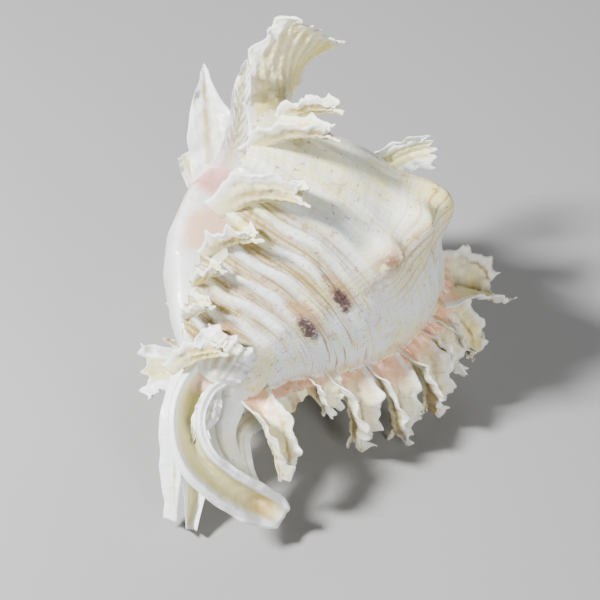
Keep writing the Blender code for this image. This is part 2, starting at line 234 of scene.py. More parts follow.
@dataclass
class SurfaceField:
    """The shell's outer surface over growth sweep and height."""

    sweeps: np.ndarray
    heights: np.ndarray
    radius: np.ndarray = field(init=False)
    growth: np.ndarray = field(init=False)
    level: np.ndarray = field(init=False)
    inner_lip: np.ndarray = field(init=False)
    groove: np.ndarray = field(init=False)

    def __post_init__(self) -> None:
        """Take the outermost whorl at every sweep and height, then shape the inner lip."""
        shape = (len(self.sweeps), len(self.heights))
        self.groove = np.zeros(shape)
        self.radius = np.full(shape, FORM.thinnest)
        self.growth = np.full(shape, FORM.oldest)
        self.level = np.zeros(shape)
        for i, sweep in enumerate(self.sweeps):
            for turn in range(FORM.turns):
                growth = float(sweep) - TURN * turn
                rs, zs = FORM.outline_at(growth)
                level = np.interp(-self.heights, -zs, FORM.levels)
                here = np.interp(level, FORM.levels, rs)
                here = here + FORM.collar(growth, level) + hills(growth, level, FORM.nodes)
                here = np.where(self.heights > zs[0], 0.0, here)
                wins = here > self.radius[i]
                self.radius[i] = np.where(wins, here, self.radius[i])
                self.growth[i] = np.where(wins, growth, self.growth[i])
                self.level[i] = np.where(wins, level, self.level[i])
        past = self.past()
        height = self.heights[None, :]
        lip = np.interp(-height, -column(FORM.inner_lip, 0), column(FORM.inner_lip, 1), 0.0, 0.0)
        self.radius = self.radius + (np.maximum(lip - self.radius, 0.0)
                                     * window(past, FORM.lip_round)
                                     * window(height, FORM.lip_tall))
        self.inner_lip = fall(*FORM.glaze_end, past) * window(height, FORM.glaze_tall)
        hollow = fall(*FORM.hollow_end, past) * window(height, FORM.hollow_tall)
        self.radius = self.radius - np.maximum(self.radius - FORM.hollow_radius, 0.0) * hollow

    def past(self) -> np.ndarray:
        """Degrees that every sweep lies past the inner end of the last whorl."""
        return (TURN + self.sweeps)[:, None]

    def azimuth(self) -> np.ndarray:
        """Direction round the axis of every grid point, radians."""
        slant = FORM.slant_at(self.heights)
        return np.radians(FORM.lip_azimuth - self.sweeps[:, None] - slant[None, :])

    def read(self, points: np.ndarray) -> dict[str, np.ndarray]:
        """Surface values at points given in shell axes.

        Args:
            points: array of positions, one row each.

        Returns:
            Growth, level, inner lip, groove and depth under the outer surface by name.
        """
        x = points[:, 0]
        y = points[:, 1] - FORM.bend(points[:, 2])
        height = points[:, 2]
        azimuth = np.degrees(np.arctan2(y, x))
        sweep = np.mod(FORM.lip_azimuth - FORM.slant_at(height) - azimuth, TURN) - TURN
        sweep = np.clip(sweep, self.sweeps.min(), self.sweeps.max())
        order = np.argsort(self.sweeps)
        a = np.interp(sweep, self.sweeps[order], order.astype(float))
        b = np.interp(-height, -self.heights, np.arange(len(self.heights), dtype=float))
        i = np.clip(np.floor(a).astype(int), 0, len(self.sweeps) - 2)
        j = np.clip(np.floor(b).astype(int), 0, len(self.heights) - 2)
        u = a - i
        v = b - j
        near = (np.where(u > 0.5, i + 1, i), np.where(v > 0.5, j + 1, j))

        def blend(grid: np.ndarray) -> np.ndarray:
            """Value of a grid between its four corners."""
            return ((grid[i, j] * (1 - u) + grid[i + 1, j] * u) * (1 - v)
                    + (grid[i, j + 1] * (1 - u) + grid[i + 1, j + 1] * u) * v)

        return {"growth": self.growth[near], "level": self.level[near],
                "inner_lip": blend(self.inner_lip), "groove": blend(self.groove),
                "depth": blend(self.radius) - np.hypot(x, y)}

    @classmethod
    def root(cls, sweep: float, level: float) -> tuple[Vector, float]:
        """Where a frond stands on the last whorl.

        Args:
            sweep: growth angle, degrees.
            level: level on the whorl.

        Returns:
            The point and its azimuth in radians.
        """
        _radius, zs = FORM.outline_at(sweep)
        height = float(np.interp(level, FORM.levels, zs))
        line = cls(np.array([sweep]), np.array([height, height - 0.01]))
        angle = float(line.azimuth()[0, 0])
        r = float(line.radius[0, 0])
        shift = float(FORM.bend(height))
        return Vector((r * math.cos(angle), r * math.sin(angle) + shift, height)), angle


@dataclass(frozen=True)
class RestingPlace:
    """Turn and shift that lay the shell on the floor, and the photograph's camera."""

    down: Point = (-0.9077, 0.4092, -0.0931)
    heading: float = 2.0
    shift: Point = (-19.95, -10.85, 56.32)
    tilt: float = 33.0
    lean: float = 38.0
    offset: tuple[float, float] = (4.5, 22.5)
    distance: float = 600.0
    field_mm: float = 270.0
    metres: float = 0.001

    def matrix(self) -> Matrix:
        """Shell axes in millimetres to the row frame in metres.

        Returns:
            The matrix that lays a piece on the floor.
        """
        down = Vector(self.down).normalized()
        turn = down.rotation_difference(-UPRIGHT).to_matrix().to_4x4()
        place = Matrix.Rotation(math.radians(self.heading), 4, "Z") @ turn
        return Matrix.Scale(self.metres, 4) @ Matrix.Translation(Vector(self.shift)) @ place

    def camera_matrix(self) -> Matrix:
        """Place of the camera in the row frame.

        Returns:
            The camera's matrix, unscaled, looking down its own -Z.
        """
        s, c = math.sin(math.radians(self.tilt)), math.cos(math.radians(self.tilt))
        sl, cl = math.sin(math.radians(self.lean)), math.cos(math.radians(self.lean))
        near = Vector((sl * s, cl * s, c))
        right = Vector((cl, -sl, 0.0))
        axis = Vector((sl * c, cl * c, -s))
        to_camera = Matrix((
            (near.x, right.x, axis.x, self.offset[0]),
            (near.y, right.y, axis.y, self.offset[1]),
            (near.z, right.z, axis.z, 0.0),
            (0.0, 0.0, 0.0, 1.0),
        ))
        seat = to_camera.inverted() @ Matrix.Translation(Vector((0.0, 0.0, self.distance)))
        spot, turn, _size = (self.matrix() @ seat).decompose()
        return Matrix.Translation(spot) @ turn.to_matrix().to_4x4()


REST = RestingPlace()


@dataclass(frozen=True)
class Glaze:
    """Colours of one finish, linear values."""

    name: str
    base: Color
    shade: Color
    warm: Color
    rust: Color
    edge: Color
    inner: Color
    roughness: float = 0.30


@dataclass(frozen=True)
class WhorlTints:
    """Colours of the single markings on the whorls, linear values."""

    chalk: Color = (0.66, 0.64, 0.58)
    grit: Color = (0.26, 0.17, 0.06)
    knob_cream: Color = (0.88, 0.74, 0.22)
    knob_ring: Color = (0.50, 0.29, 0.07)
    hairline: Color = (0.34, 0.15, 0.04)
    patch: Color = (0.06, 0.02, 0.025)
    patch_halo: Color = (0.44, 0.24, 0.09)
    tip: Color = (0.24, 0.12, 0.07)
    border: Color = (0.82, 0.34, 0.14)
    border_halo: Color = (0.90, 0.60, 0.32)
    freckle: Color = (0.50, 0.29, 0.10)
    speck: Color = (0.44, 0.22, 0.06)
    callus: Color = (0.84, 0.84, 0.85)
    callus_stain: Color = (0.84, 0.60, 0.34)


@dataclass(frozen=True)
class Speckle:
    """Blotches of a colour where a noise is high: its frequency and its limits."""

    amount: float
    scale: float
    low: float
    high: float
    detail: float = 3.0
    rough: float = 0.55


@dataclass(frozen=True)
class Patch:
    """One dark patch on the whorls: its middle and half widths in growth and level."""

    growth: float
    level: float
    wide: float
    tall: float
    halo: bool = False


@dataclass(frozen=True)
class Blush:
    """One coloured cloud on the inner lip, its place and reach in metres."""

    spot: Point
    reach: float
    tint: Color
    amount: float


BODY_GLAZE = Glaze("shell_whorls", base=(0.86, 0.91, 0.92), shade=(0.38, 0.27, 0.09),
                   warm=(0.88, 0.82, 0.26), rust=(0.34, 0.14, 0.03),
                   edge=(0.93, 0.52, 0.32), inner=(0.84, 0.60, 0.50))
LIP_GLAZE = Glaze("shell_lip_fronds", base=(0.90, 0.91, 0.84), shade=(0.44, 0.30, 0.08),
                  warm=(0.90, 0.78, 0.22), rust=(0.36, 0.16, 0.04),
                  edge=(0.92, 0.93, 0.90), inner=(0.90, 0.70, 0.56), roughness=0.38)
BACK_GLAZE = Glaze("shell_back_fronds", base=(0.90, 0.90, 0.82), shade=(0.32, 0.20, 0.06),
                   warm=(0.87, 0.75, 0.27), rust=(0.32, 0.14, 0.04),
                   edge=(0.92, 0.92, 0.86), inner=(0.94, 0.54, 0.34), roughness=0.36)
THIRD_GLAZE = replace(BACK_GLAZE, name="shell_third_fronds")
# Canal inner colour: tan with painted shade, darkening the inside of the troughs.
CANAL_GLAZE = Glaze("shell_canal", base=(0.88, 0.92, 0.93), shade=(0.46, 0.35, 0.14),
                    warm=(0.90, 0.84, 0.44), rust=(0.42, 0.22, 0.06),
                    edge=(0.90, 0.94, 0.95), inner=(0.66, 0.60, 0.24), roughness=0.32)
SPOON_STAIN = (0.46, 0.31, 0.08)
SPOON_END = (-15.5, 50.0, -106.0)

CREAM_CLOUDS = Speckle(amount=0.50, scale=30.0, low=0.50, high=0.64)
RUST_GRAINS = Speckle(amount=0.70, scale=330.0, low=0.61, high=0.69, rough=0.7)
FRECKLES = Speckle(amount=0.55, scale=75.0, low=0.57, high=0.70, detail=5.0, rough=0.7)
FROND_RUST = Speckle(amount=0.55, scale=240.0, low=0.64, high=0.74, detail=4.0, rough=0.7)
SCALE_PINK = Speckle(amount=0.45, scale=170.0, low=0.48, high=0.62)
SCALE_CREAM = Speckle(amount=0.60, scale=90.0, low=0.46, high=0.64, detail=4.0)

PATCHES = (Patch(-60.0, 0.515, 20.0, 0.036, halo=True), Patch(-66.0, 0.522, 12.0, 0.027),
           Patch(-63.0, 0.612, 24.0, 0.044, halo=True), Patch(-71.0, 0.628, 16.0, 0.030))
KNOBS = ((-73.0, 22.0), (-179.0, 20.0))
BLUSHES = (Blush((-0.0418, -0.0552, 0.0810), 0.036, (0.70, 0.33, 0.27), 0.88),
           Blush((-0.0300, -0.0480, 0.0930), 0.022, (0.70, 0.38, 0.36), 0.75),
           Blush((0.0060, -0.0500, 0.0900), 0.022, (0.82, 0.48, 0.26), 0.75))


class Zone(Enum):
    """Which varix a row of fronds belongs to."""

    LIP = "lip"
    BACK = "back"
    THIRD = "third"


@dataclass(frozen=True)
class Frond:
    """One hollow frond rooted on a varix, sizes in millimetres and degrees."""

    sweep: float
    level: float
    lift: float
    length: float
    root: float
    waist: float
    tip: float
    fold: float
    lean: float
    curl: float
    power: float = 1.3
    ruffle: float = 1.5
    tooth: float = 2.5


@dataclass(frozen=True)
class RowPlan:
    """What tells one row of fronds from the others."""

    glaze: Glaze
    pink: float
    cream: float
    seed: int
    fronds: tuple[Frond, ...]
    twist: float = 0.0
    web: float | None = None


@dataclass(frozen=True)
class Channel:
    """One open spout or blade along a path, its mouth turned to the facing direction."""

    path: tuple[Point, ...]
    facing: Point
    halves: tuple[float, ...]
    fold: float
    thick: float


ROWS: dict[Zone, RowPlan] = {
    Zone.LIP: RowPlan(LIP_GLAZE, 0.5, 0.42, 3, (
        Frond(-3, 0.115, 50, 40, 17, 18, 19, 9, -12, 98, 2.8, 1.2, 1.7),
        Frond(-3, 0.15, 26, 25, 9, 6, 5, 4, 50, 40, 1.2, 1.1, 2.0),
        Frond(-1, 0.30, 22, 32, 11, 7, 5, 5, 45, 45, 1.0, 1.0, 2.0),
        Frond(-1, 0.48, 46, 28, 13, 9, 5, 7, 40, 50, 1.0, 1.0, 2.0),
        Frond(-1, 0.59, 30, 18, 8, 6, 5, 4, 40, 40, 1.0, 1.5, 2.0),
        Frond(-1, 0.68, 10, 12, 6, 5, 4, 3, 35, 40, 1.0, 1.0, 1.5),
        Frond(-1, 0.77, 10, 10, 6, 5, 4, 3, 35, 40, 1.0, 1.0, 1.5),
        Frond(-1, 0.88, 50, 19, 8, 6, 5, 4, 45, 35, 1.0, 1.2, 1.5),
    )),
    Zone.BACK: RowPlan(BACK_GLAZE, 0.40, 0.42, 5, (
        Frond(-121, 0.145, 50, 27, 15, 13, 13, 6, 8, 36, tooth=3.0),
        Frond(-121, 0.24, 2, 21, 9, 8, 7, 5, 10, 50),
        Frond(-121, 0.31, -16, 18, 7, 6, 4, 5, 10, 50, tooth=3.0),
        Frond(-121, 0.385, -21, 28, 9, 7, 5, 6, 10, 60, tooth=3.0),
        Frond(-121, 0.48, -27, 32, 9, 7, 4.5, 6, 10, 65, tooth=3.0),
        Frond(-121, 0.585, -30, 30, 10, 7, 4, 6, 10, 65, tooth=3.0),
        Frond(-121, 0.66, -34, 11, 7, 6, 5, 4, 10, 50, ruffle=1.0, tooth=1.5),
        Frond(-121, 0.85, -34, 28, 7, 5.5, 4, 5, 0, 60, ruffle=1.0, tooth=2.6),
    ), twist=42.0, web=-120.6),
    Zone.THIRD: RowPlan(THIRD_GLAZE, 0.4, 0.22, 8, (
        Frond(-239, 0.13, 41, 37, 15, 9, 8, 6, 0, 80, 1.5, 1.4, 1.6),
        Frond(-239, 0.28, 9, 24, 10, 7, 6, 6, 12, 68, tooth=1.8),
        Frond(-239, 0.42, -10, 30, 9, 7, 7, 6, 10, 60),
        Frond(-239, 0.56, -20, 19, 9, 7, 7, 6, 10, 60),
        Frond(-239, 0.72, -30, 15, 8, 7, 7, 6, 10, 50),
    ), twist=24.0, web=-238.6),
}

CHANNELS: dict[str, Channel] = {
    "canal_spout": Channel(((2.0, 0.0, -80.0), (4.4, 1.0, -97.0), (3.4, 7.5, -108.5),
                            (0.6, 17.1, -113.8), (-4.7, 30.0, -112.7), (-10.8, 43.0, -108.5),
                            (-17.0, 54.2, -103.2)),
                           TO_CAMERA, (9.5, 8.0, 7.4, 8.0, 8.6, 8.8, 7.6), 9.5, 4.0),
    "canal_column": Channel(((14.0, 1.0, -68.0), (16.4, 7.0, -82.0), (12.4, 12.4, -94.0),
                             (6.5, 19.6, -103.6), (-1.6, 32.2, -106.8), (-9.0, 44.5, -104.5)),
                            FROM_CAMERA, (11.0, 9.0, 7.6, 5.6, 3.6, 2.0), 7.0, 3.0),
    "ribbed_lobe": Channel(((15.0, 4.5, -90.0), (17.0, 6.2, -97.0), (16.4, 8.4, -103.0),
                            (12.6, 9.8, -109.0), (8.0, 11.2, -113.0)),
                           FROM_CAMERA, (2.5, 4.5, 5.2, 4.6, 2.4), 2.4, 2.4),
    "brow_leaf": Channel(((16.0, 2.0, -92.0), (21.0, 1.2, -90.5), (26.0, -0.2, -84.5),
                          (30.5, -0.6, -78.0)),
                         FROM_CAMERA, (9.0, 11.0, 13.0, 14.0), 3.5, 2.6),
    "old_canal_blade": Channel(((-3.0, -8.0, -80.0), (-10.7, 0.7, -101.0),
                                (-20.2, 13.2, -115.5), (-31.0, 26.0, -128.5)),
                               (0.6, -0.7, 0.2), (8.0, 6.5, 5.5, 4.0), 2.5, 3.2),
    "old_canal_groove": Channel(((-6.0, 2.0, -88.0), (-14.7, 8.0, -101.0),
                                 (-21.5, 18.8, -110.2), (-34.3, 31.9, -126.3)),
                                (0.8, 0.3, -0.5), (9.0, 8.0, 6.5, 2.5), 7.0, 2.6),
    "canal_arch": Channel(((-1.0, 16.0, -74.0), (-2.0, 25.0, -82.0), (-2.3, 25.0, -93.0),
                           (-6.3, 33.7, -101.5), (-12.3, 45.2, -104.5)),
                          (-0.8, 0.2, 0.5), (6.0, 5.0, 4.0, 4.0, 3.0), 2.0, 3.0),
    "left_fan": Channel(((-12.0, -1.0, -76.0), (-20.7, -8.9, -77.8), (-27.2, -17.2, -78.5),
                         (-34.0, -23.0, -81.0)),
                        (0.85, -0.1, -0.5), (7.0, 8.0, 10.0, 12.0), 4.0, 2.4),
    "blade_spine": Channel(((-3.0, -40.0, 0.0), (2.0, -57.6, 8.0), (4.4, -73.8, 20.9),
                            (7.1, -90.0, 38.6)),
                           (0.85, 0.0, -0.5), (17.0, 14.0, 9.0, 4.5), 2.5, 3.6),
    "fan_strip": Channel(((5.7, -51.0, 1.4), (19.5, -53.7, 4.4), (37.2, -58.0, 5.9),
                          (51.0, -64.0, 9.4), (60.5, -68.4, 13.6)),
                         TO_CAMERA, (7.0, 5.5, 4.6, 4.0, 3.2), 1.2, 2.4),
    "parietal_lobe": Channel(((-4.0, -46.0, -4.0), (-6.0, -60.0, -1.0), (-5.4, -71.1, 2.9)),
                             (0.6, 0.5, -0.6), (8.0, 6.5, 4.5), 4.5, 3.0),
    "spire_spine": Channel(((6.0, 0.0, 44.0), (20.0, 2.9, 49.1), (34.0, 8.3, 52.4),
                            (44.6, 16.0, 54.0)),
                           (0.7, 0.2, -0.7), (11.0, 9.0, 7.5, 7.0), 4.5, 2.6),
}


@dataclass
class Relief:
    """Fine sculpture added over the whorls' smooth form, millimetres."""

    cord: float = 2.1
    cord_pitch: float = 0.052
    cord_levels: tuple[float, float] = (0.32, 0.50)
    cord_reach: tuple[float, float] = (16.0, 108.0)
    thread_past: tuple[float, float] = (104.0, 150.0)
    thread: float = 0.16
    growth_line: float = 0.16
    swell: float = 0.55
    dent: float = 0.22
    frill: float = 1.3
    frill_at: float = 1.6
    step: float = 0.30
    step_pitch: float = 3.1
    cover: float = 0.97
    seed: int = 11

    def waves(self, growth: np.ndarray, level: np.ndarray, count: int, pitch: float) -> np.ndarray:
        """Smooth random waves over growth and level.

        Args:
            growth: growth angles, degrees.
            level: levels at the same points.
            count: number of waves, which also picks the random numbers.
            pitch: typical size of a wave, degrees.

        Returns:
            Values of about -1 to 1.
        """
        rng = np.random.default_rng(self.seed + count)
        total = np.zeros_like(level)
        for _k in range(count):
            turn = rng.uniform(0.0, 2.0 * math.pi)
            phase = rng.uniform(0.0, 2.0 * math.pi)
            scale = rng.uniform(0.6, 1.6) / pitch
            along = growth * 0.9 * math.cos(turn)
            total += np.sin((along + level * 150.0 * math.sin(turn)) * scale + phase)
        return total / math.sqrt(count)

    @staticmethod
    def from_varices(growth: np.ndarray) -> tuple[np.ndarray, np.ndarray]:
        """Degrees since the last varix and up to the next one.

        Args:
            growth: growth angles, degrees.

        Returns:
            Both distances, 400 where there is no such varix.
        """
        since = np.full_like(growth, 400.0)
        ahead = np.full_like(growth, 400.0)
        for varix in FORM.varices:
            gap = growth - varix
            since = np.where((gap >= 0.0) & (gap < since), gap, since)
            ahead = np.where((gap < 0.0) & (-gap < ahead), -gap, ahead)
        return since, np.where(growth > -0.5, 0.0, ahead)

    def heights(self, surface: SurfaceField) -> tuple[np.ndarray, np.ndarray]:
        """Sculpture over the whole grid.

        Args:
            surface: the smooth form that carries it.

        Returns:
            Outward relief in millimetres, and how deep in a groove each point lies, 0 to 1.
        """
        growth, level = surface.growth, surface.level
        since, ahead = self.from_varices(growth)
        size = np.exp(0.5 * growth / TURN)
        calm = 1.0 - self.cover * surface.inner_lip
        wander = 0.012 * np.sin(growth / 21.0) + 0.006 * np.sin(growth / 7.3 + 1.0)
        strong = (0.16 + 0.84 * fall(*self.cord_reach, ahead)) * ramp(*self.cord_levels, level)
        weak = 0.14 * fall(*self.cord_levels, level) * ramp(0.05, 0.16, level)
        spiral = 2.0 * math.pi * (level + wander) / self.cord_pitch
        cords = (0.5 + 0.5 * np.cos(spiral)) ** 1.6
        threads = np.cos(5.0 * spiral)
        low = self.waves(growth, level, 9, 9.0)
        mid = self.waves(growth, level, 11, 3.2)
        lines = np.sin(growth * 2.3 + 3.0 * mid) * (0.25 + 0.75 * fall(0.0, 24.0, ahead))
        total = self.cord * cords * (strong + weak) * (0.75 + 0.25 * mid)
        bare = ramp(*self.thread_past, surface.past())
        total += self.thread * threads * (0.3 + 0.7 * strong) * bare
        total += self.growth_line * lines + self.swell * low + self.dent * mid
        frill = fall(0.2, 4.2, np.abs(since - self.frill_at)) * np.sin(level * 190.0 + 2.0 * mid)
        total += self.frill * frill * ramp(0.02, 0.08, level)
        steps = fall(0.0, 2.2, np.abs(np.mod(since, self.step_pitch) - 1.0))
        total += self.step * steps * fall(2.0, 11.0, since)
        groove = (1.0 - cords) * np.clip(strong + weak, 0.0, 1.0) * calm
        return total * size * calm, groove


class MeshKit:
    """Makes, reads and joins plain mesh objects."""

    @staticmethod
    def place(name: str, data: bpy.types.ID) -> bpy.types.Object:
        """New object for the data, linked into the scene.

        Args:
            name: object name.
            data: mesh, curve, light or camera.

        Returns:
            The linked object.
        """
        obj = bpy.data.objects.new(name, data)
        bpy.context.scene.collection.objects.link(obj)
        return obj

    @staticmethod
    def write(mesh: bpy.types.Mesh, values: dict[str, np.ndarray]) -> None:
        """Store named float values on the points of a mesh.

        Args:
            mesh: the mesh.
            values: one number for each point, by attribute name.
        """
        for label, numbers in values.items():
            layer = mesh.attributes.new(label, "FLOAT", "POINT")
            layer.data.foreach_set("value", np.ascontiguousarray(numbers, dtype=np.float32))

    @staticmethod
    def spots(mesh: bpy.types.Mesh) -> np.ndarray:
        """Positions of a mesh's points.

        Args:
            mesh: the mesh.

        Returns:
            The positions.
        """
        found = np.empty(len(mesh.vertices) * 3, np.float32)
        mesh.vertices.foreach_get("co", found)
        return found.reshape(-1, 3)

    @staticmethod
    def smooth(mesh: bpy.types.Mesh) -> None:
        """Shade every face smoothly."""
        mesh.polygons.foreach_set("use_smooth", [True] * len(mesh.polygons))

    @classmethod
    def face_outward(cls, mesh: bpy.types.Mesh) -> None:
        """Flip the whole mesh if it encloses a negative volume.

        Args:
            mesh: a closed mesh.
        """
        mesh.calc_loop_triangles()
        corners = np.empty(len(mesh.loop_triangles) * 3, np.int32)
        mesh.loop_triangles.foreach_get("vertices", corners)
        tri = cls.spots(mesh)[corners.reshape(-1, 3)].astype(float)
        volume = np.einsum("ij,ij->i", tri[:, 0], np.cross(tri[:, 1], tri[:, 2])).sum()
        if volume < 0.0:
            mesh.flip_normals()

    @classmethod
    def piece(cls, name: str, points: np.ndarray, faces: Faces,
              values: dict[str, np.ndarray] | None = None) -> bpy.types.Object:
        """Smooth closed mesh object with float attributes on its points.

        Args:
            name: object name.
            points: positions in shell axes, millimetres.
            faces: point numbers of every face.
            values: named float values, one for each point.

        Returns:
            The linked object, still in shell axes, its faces outward.
        """
        mesh = bpy.data.meshes.new(name)
        mesh.from_pydata(points.tolist(), [], faces)
        cls.write(mesh, values or {})
        cls.smooth(mesh)
        mesh.validate()
        mesh.update()
        cls.face_outward(mesh)
        return cls.place(name, mesh)

    @classmethod
    def sheet(cls, name: str, front: np.ndarray, rear: np.ndarray,
              values: dict[str, tuple[Grid, Grid]]) -> bpy.types.Object:
        """Closed sheet between two grids of points, joined round the rim.

        Args:
            name: object name.
            front: positions of the one side, rows by columns by three.
            rear: positions of the other side.
            values: named grids or single numbers for the front and the rear.

        Returns:
            The linked object in shell axes.
        """
        rows, cols = front.shape[:2]
        count = rows * cols
        faces = cls.grid_faces(rows, cols) + cls.grid_faces(rows, cols, count, flip=True)
        rim = [i * cols for i in range(rows)]
        rim += [(rows - 1) * cols + j for j in range(1, cols)]
        rim += [i * cols + cols - 1 for i in range(rows - 2, -1, -1)]
        rim += list(range(cols - 2, 0, -1))
        for a, b in zip(rim, rim[1:] + rim[:1]):
            faces.append((a, b, b + count, a + count))
        points = np.concatenate([front.reshape(-1, 3), rear.reshape(-1, 3)])
        flat = {label: np.concatenate([np.broadcast_to(side, (rows, cols)).ravel()
                                       for side in sides]) for label, sides in values.items()}
        return cls.piece(name, points, faces, flat)

    @classmethod
    def frozen(cls, obj: bpy.types.Object) -> bpy.types.Mesh:
        """Plain smooth mesh of an object with its modifiers applied.

        Args:
            obj: the object.

        Returns:
            A new mesh.
        """
        bpy.context.view_layer.update()
        seen = obj.evaluated_get(bpy.context.evaluated_depsgraph_get())
        mesh = bpy.data.meshes.new_from_object(seen)
        cls.smooth(mesh)
        return mesh

    @staticmethod
    def join(name: str, parts: list[bpy.types.Object]) -> bpy.types.Object:
        """One object made of several, the first keeping its data.

        Args:
            name: name of the joined object.
            parts: objects to join.

        Returns:
            The first object.
        """
        with bpy.context.temp_override(active_object=parts[0], object=parts[0],
                                       selected_objects=parts, selected_editable_objects=parts):
            bpy.ops.object.join()
        parts[0].name = name
        return parts[0]

    @staticmethod
    def grid_faces(rows: int, cols: int, start: int = 0, flip: bool = False,
                   wrap: bool = False) -> Faces:
        """Quads of a grid of points stored row by row.

        Args:
            rows: number of rows.
            cols: points in a row.
            start: number of the first point.
            flip: whether the quads face the other way.
            wrap: whether the last row joins the first.

        Returns:
            Point numbers of every quad.
        """
        faces: Faces = []
        for i in range(rows if wrap else rows - 1):
            a = start + i * cols
            b = start + ((i + 1) % rows) * cols
            for j in range(cols - 1):
                quad = (a + j, a + j + 1, b + j + 1, b + j)
                faces.append(quad[::-1] if flip else quad)
        return faces


@dataclass
class Section:
    """One cross section of a frond: centre, directions and sizes."""

    spot: Vector
    along: Vector
    across: Vector
    behind: Vector
    half: float
    fold: float
    thick: float


@dataclass
class LeafStyle:
    """How a frond's sheet is worked."""

    rows: int = 44
    cols: int = 41
    ruffle: float = 1.5
    tooth: float = 2.5
    pleats: float = 3.0
    pleat: float = 1.0
    pleat_from: float = 0.1
    deepen: float = 1.0
    taper: float = 0.3
    lamella: float = 0.35
    fingers: float = 2.0
    point: float = 1.0
    lobes: float = 0.16
    crumple: float = 0.35
    skew: float = 0.0
    rim: float = 0.0
    round_tip: float = 0.0
    pinch: float = 0.0
    tint: float = 1.0
    # share of the inner colour on the rear face: a pink flush on the fronds, painted trough shade
    # on the canal pieces
    blush: float = 1.0


@dataclass(frozen=True)
class LeafWaves:
    """Waves that every sheet shares: radians from root to tip or from rim to middle."""

    saw: float = 9.5
    saw_fine: float = 31.0
    ruffle: float = 19.0
    ruffle_fine: float = 37.0
    pleat_sway: float = 5.0
    scale_rows: float = 11.0
    scale_arch: float = 0.8
    tooth_fine: float = 19.0
    wrinkle: float = 6.5
    wrinkle_fine: float = 2.6


WAVES = LeafWaves()


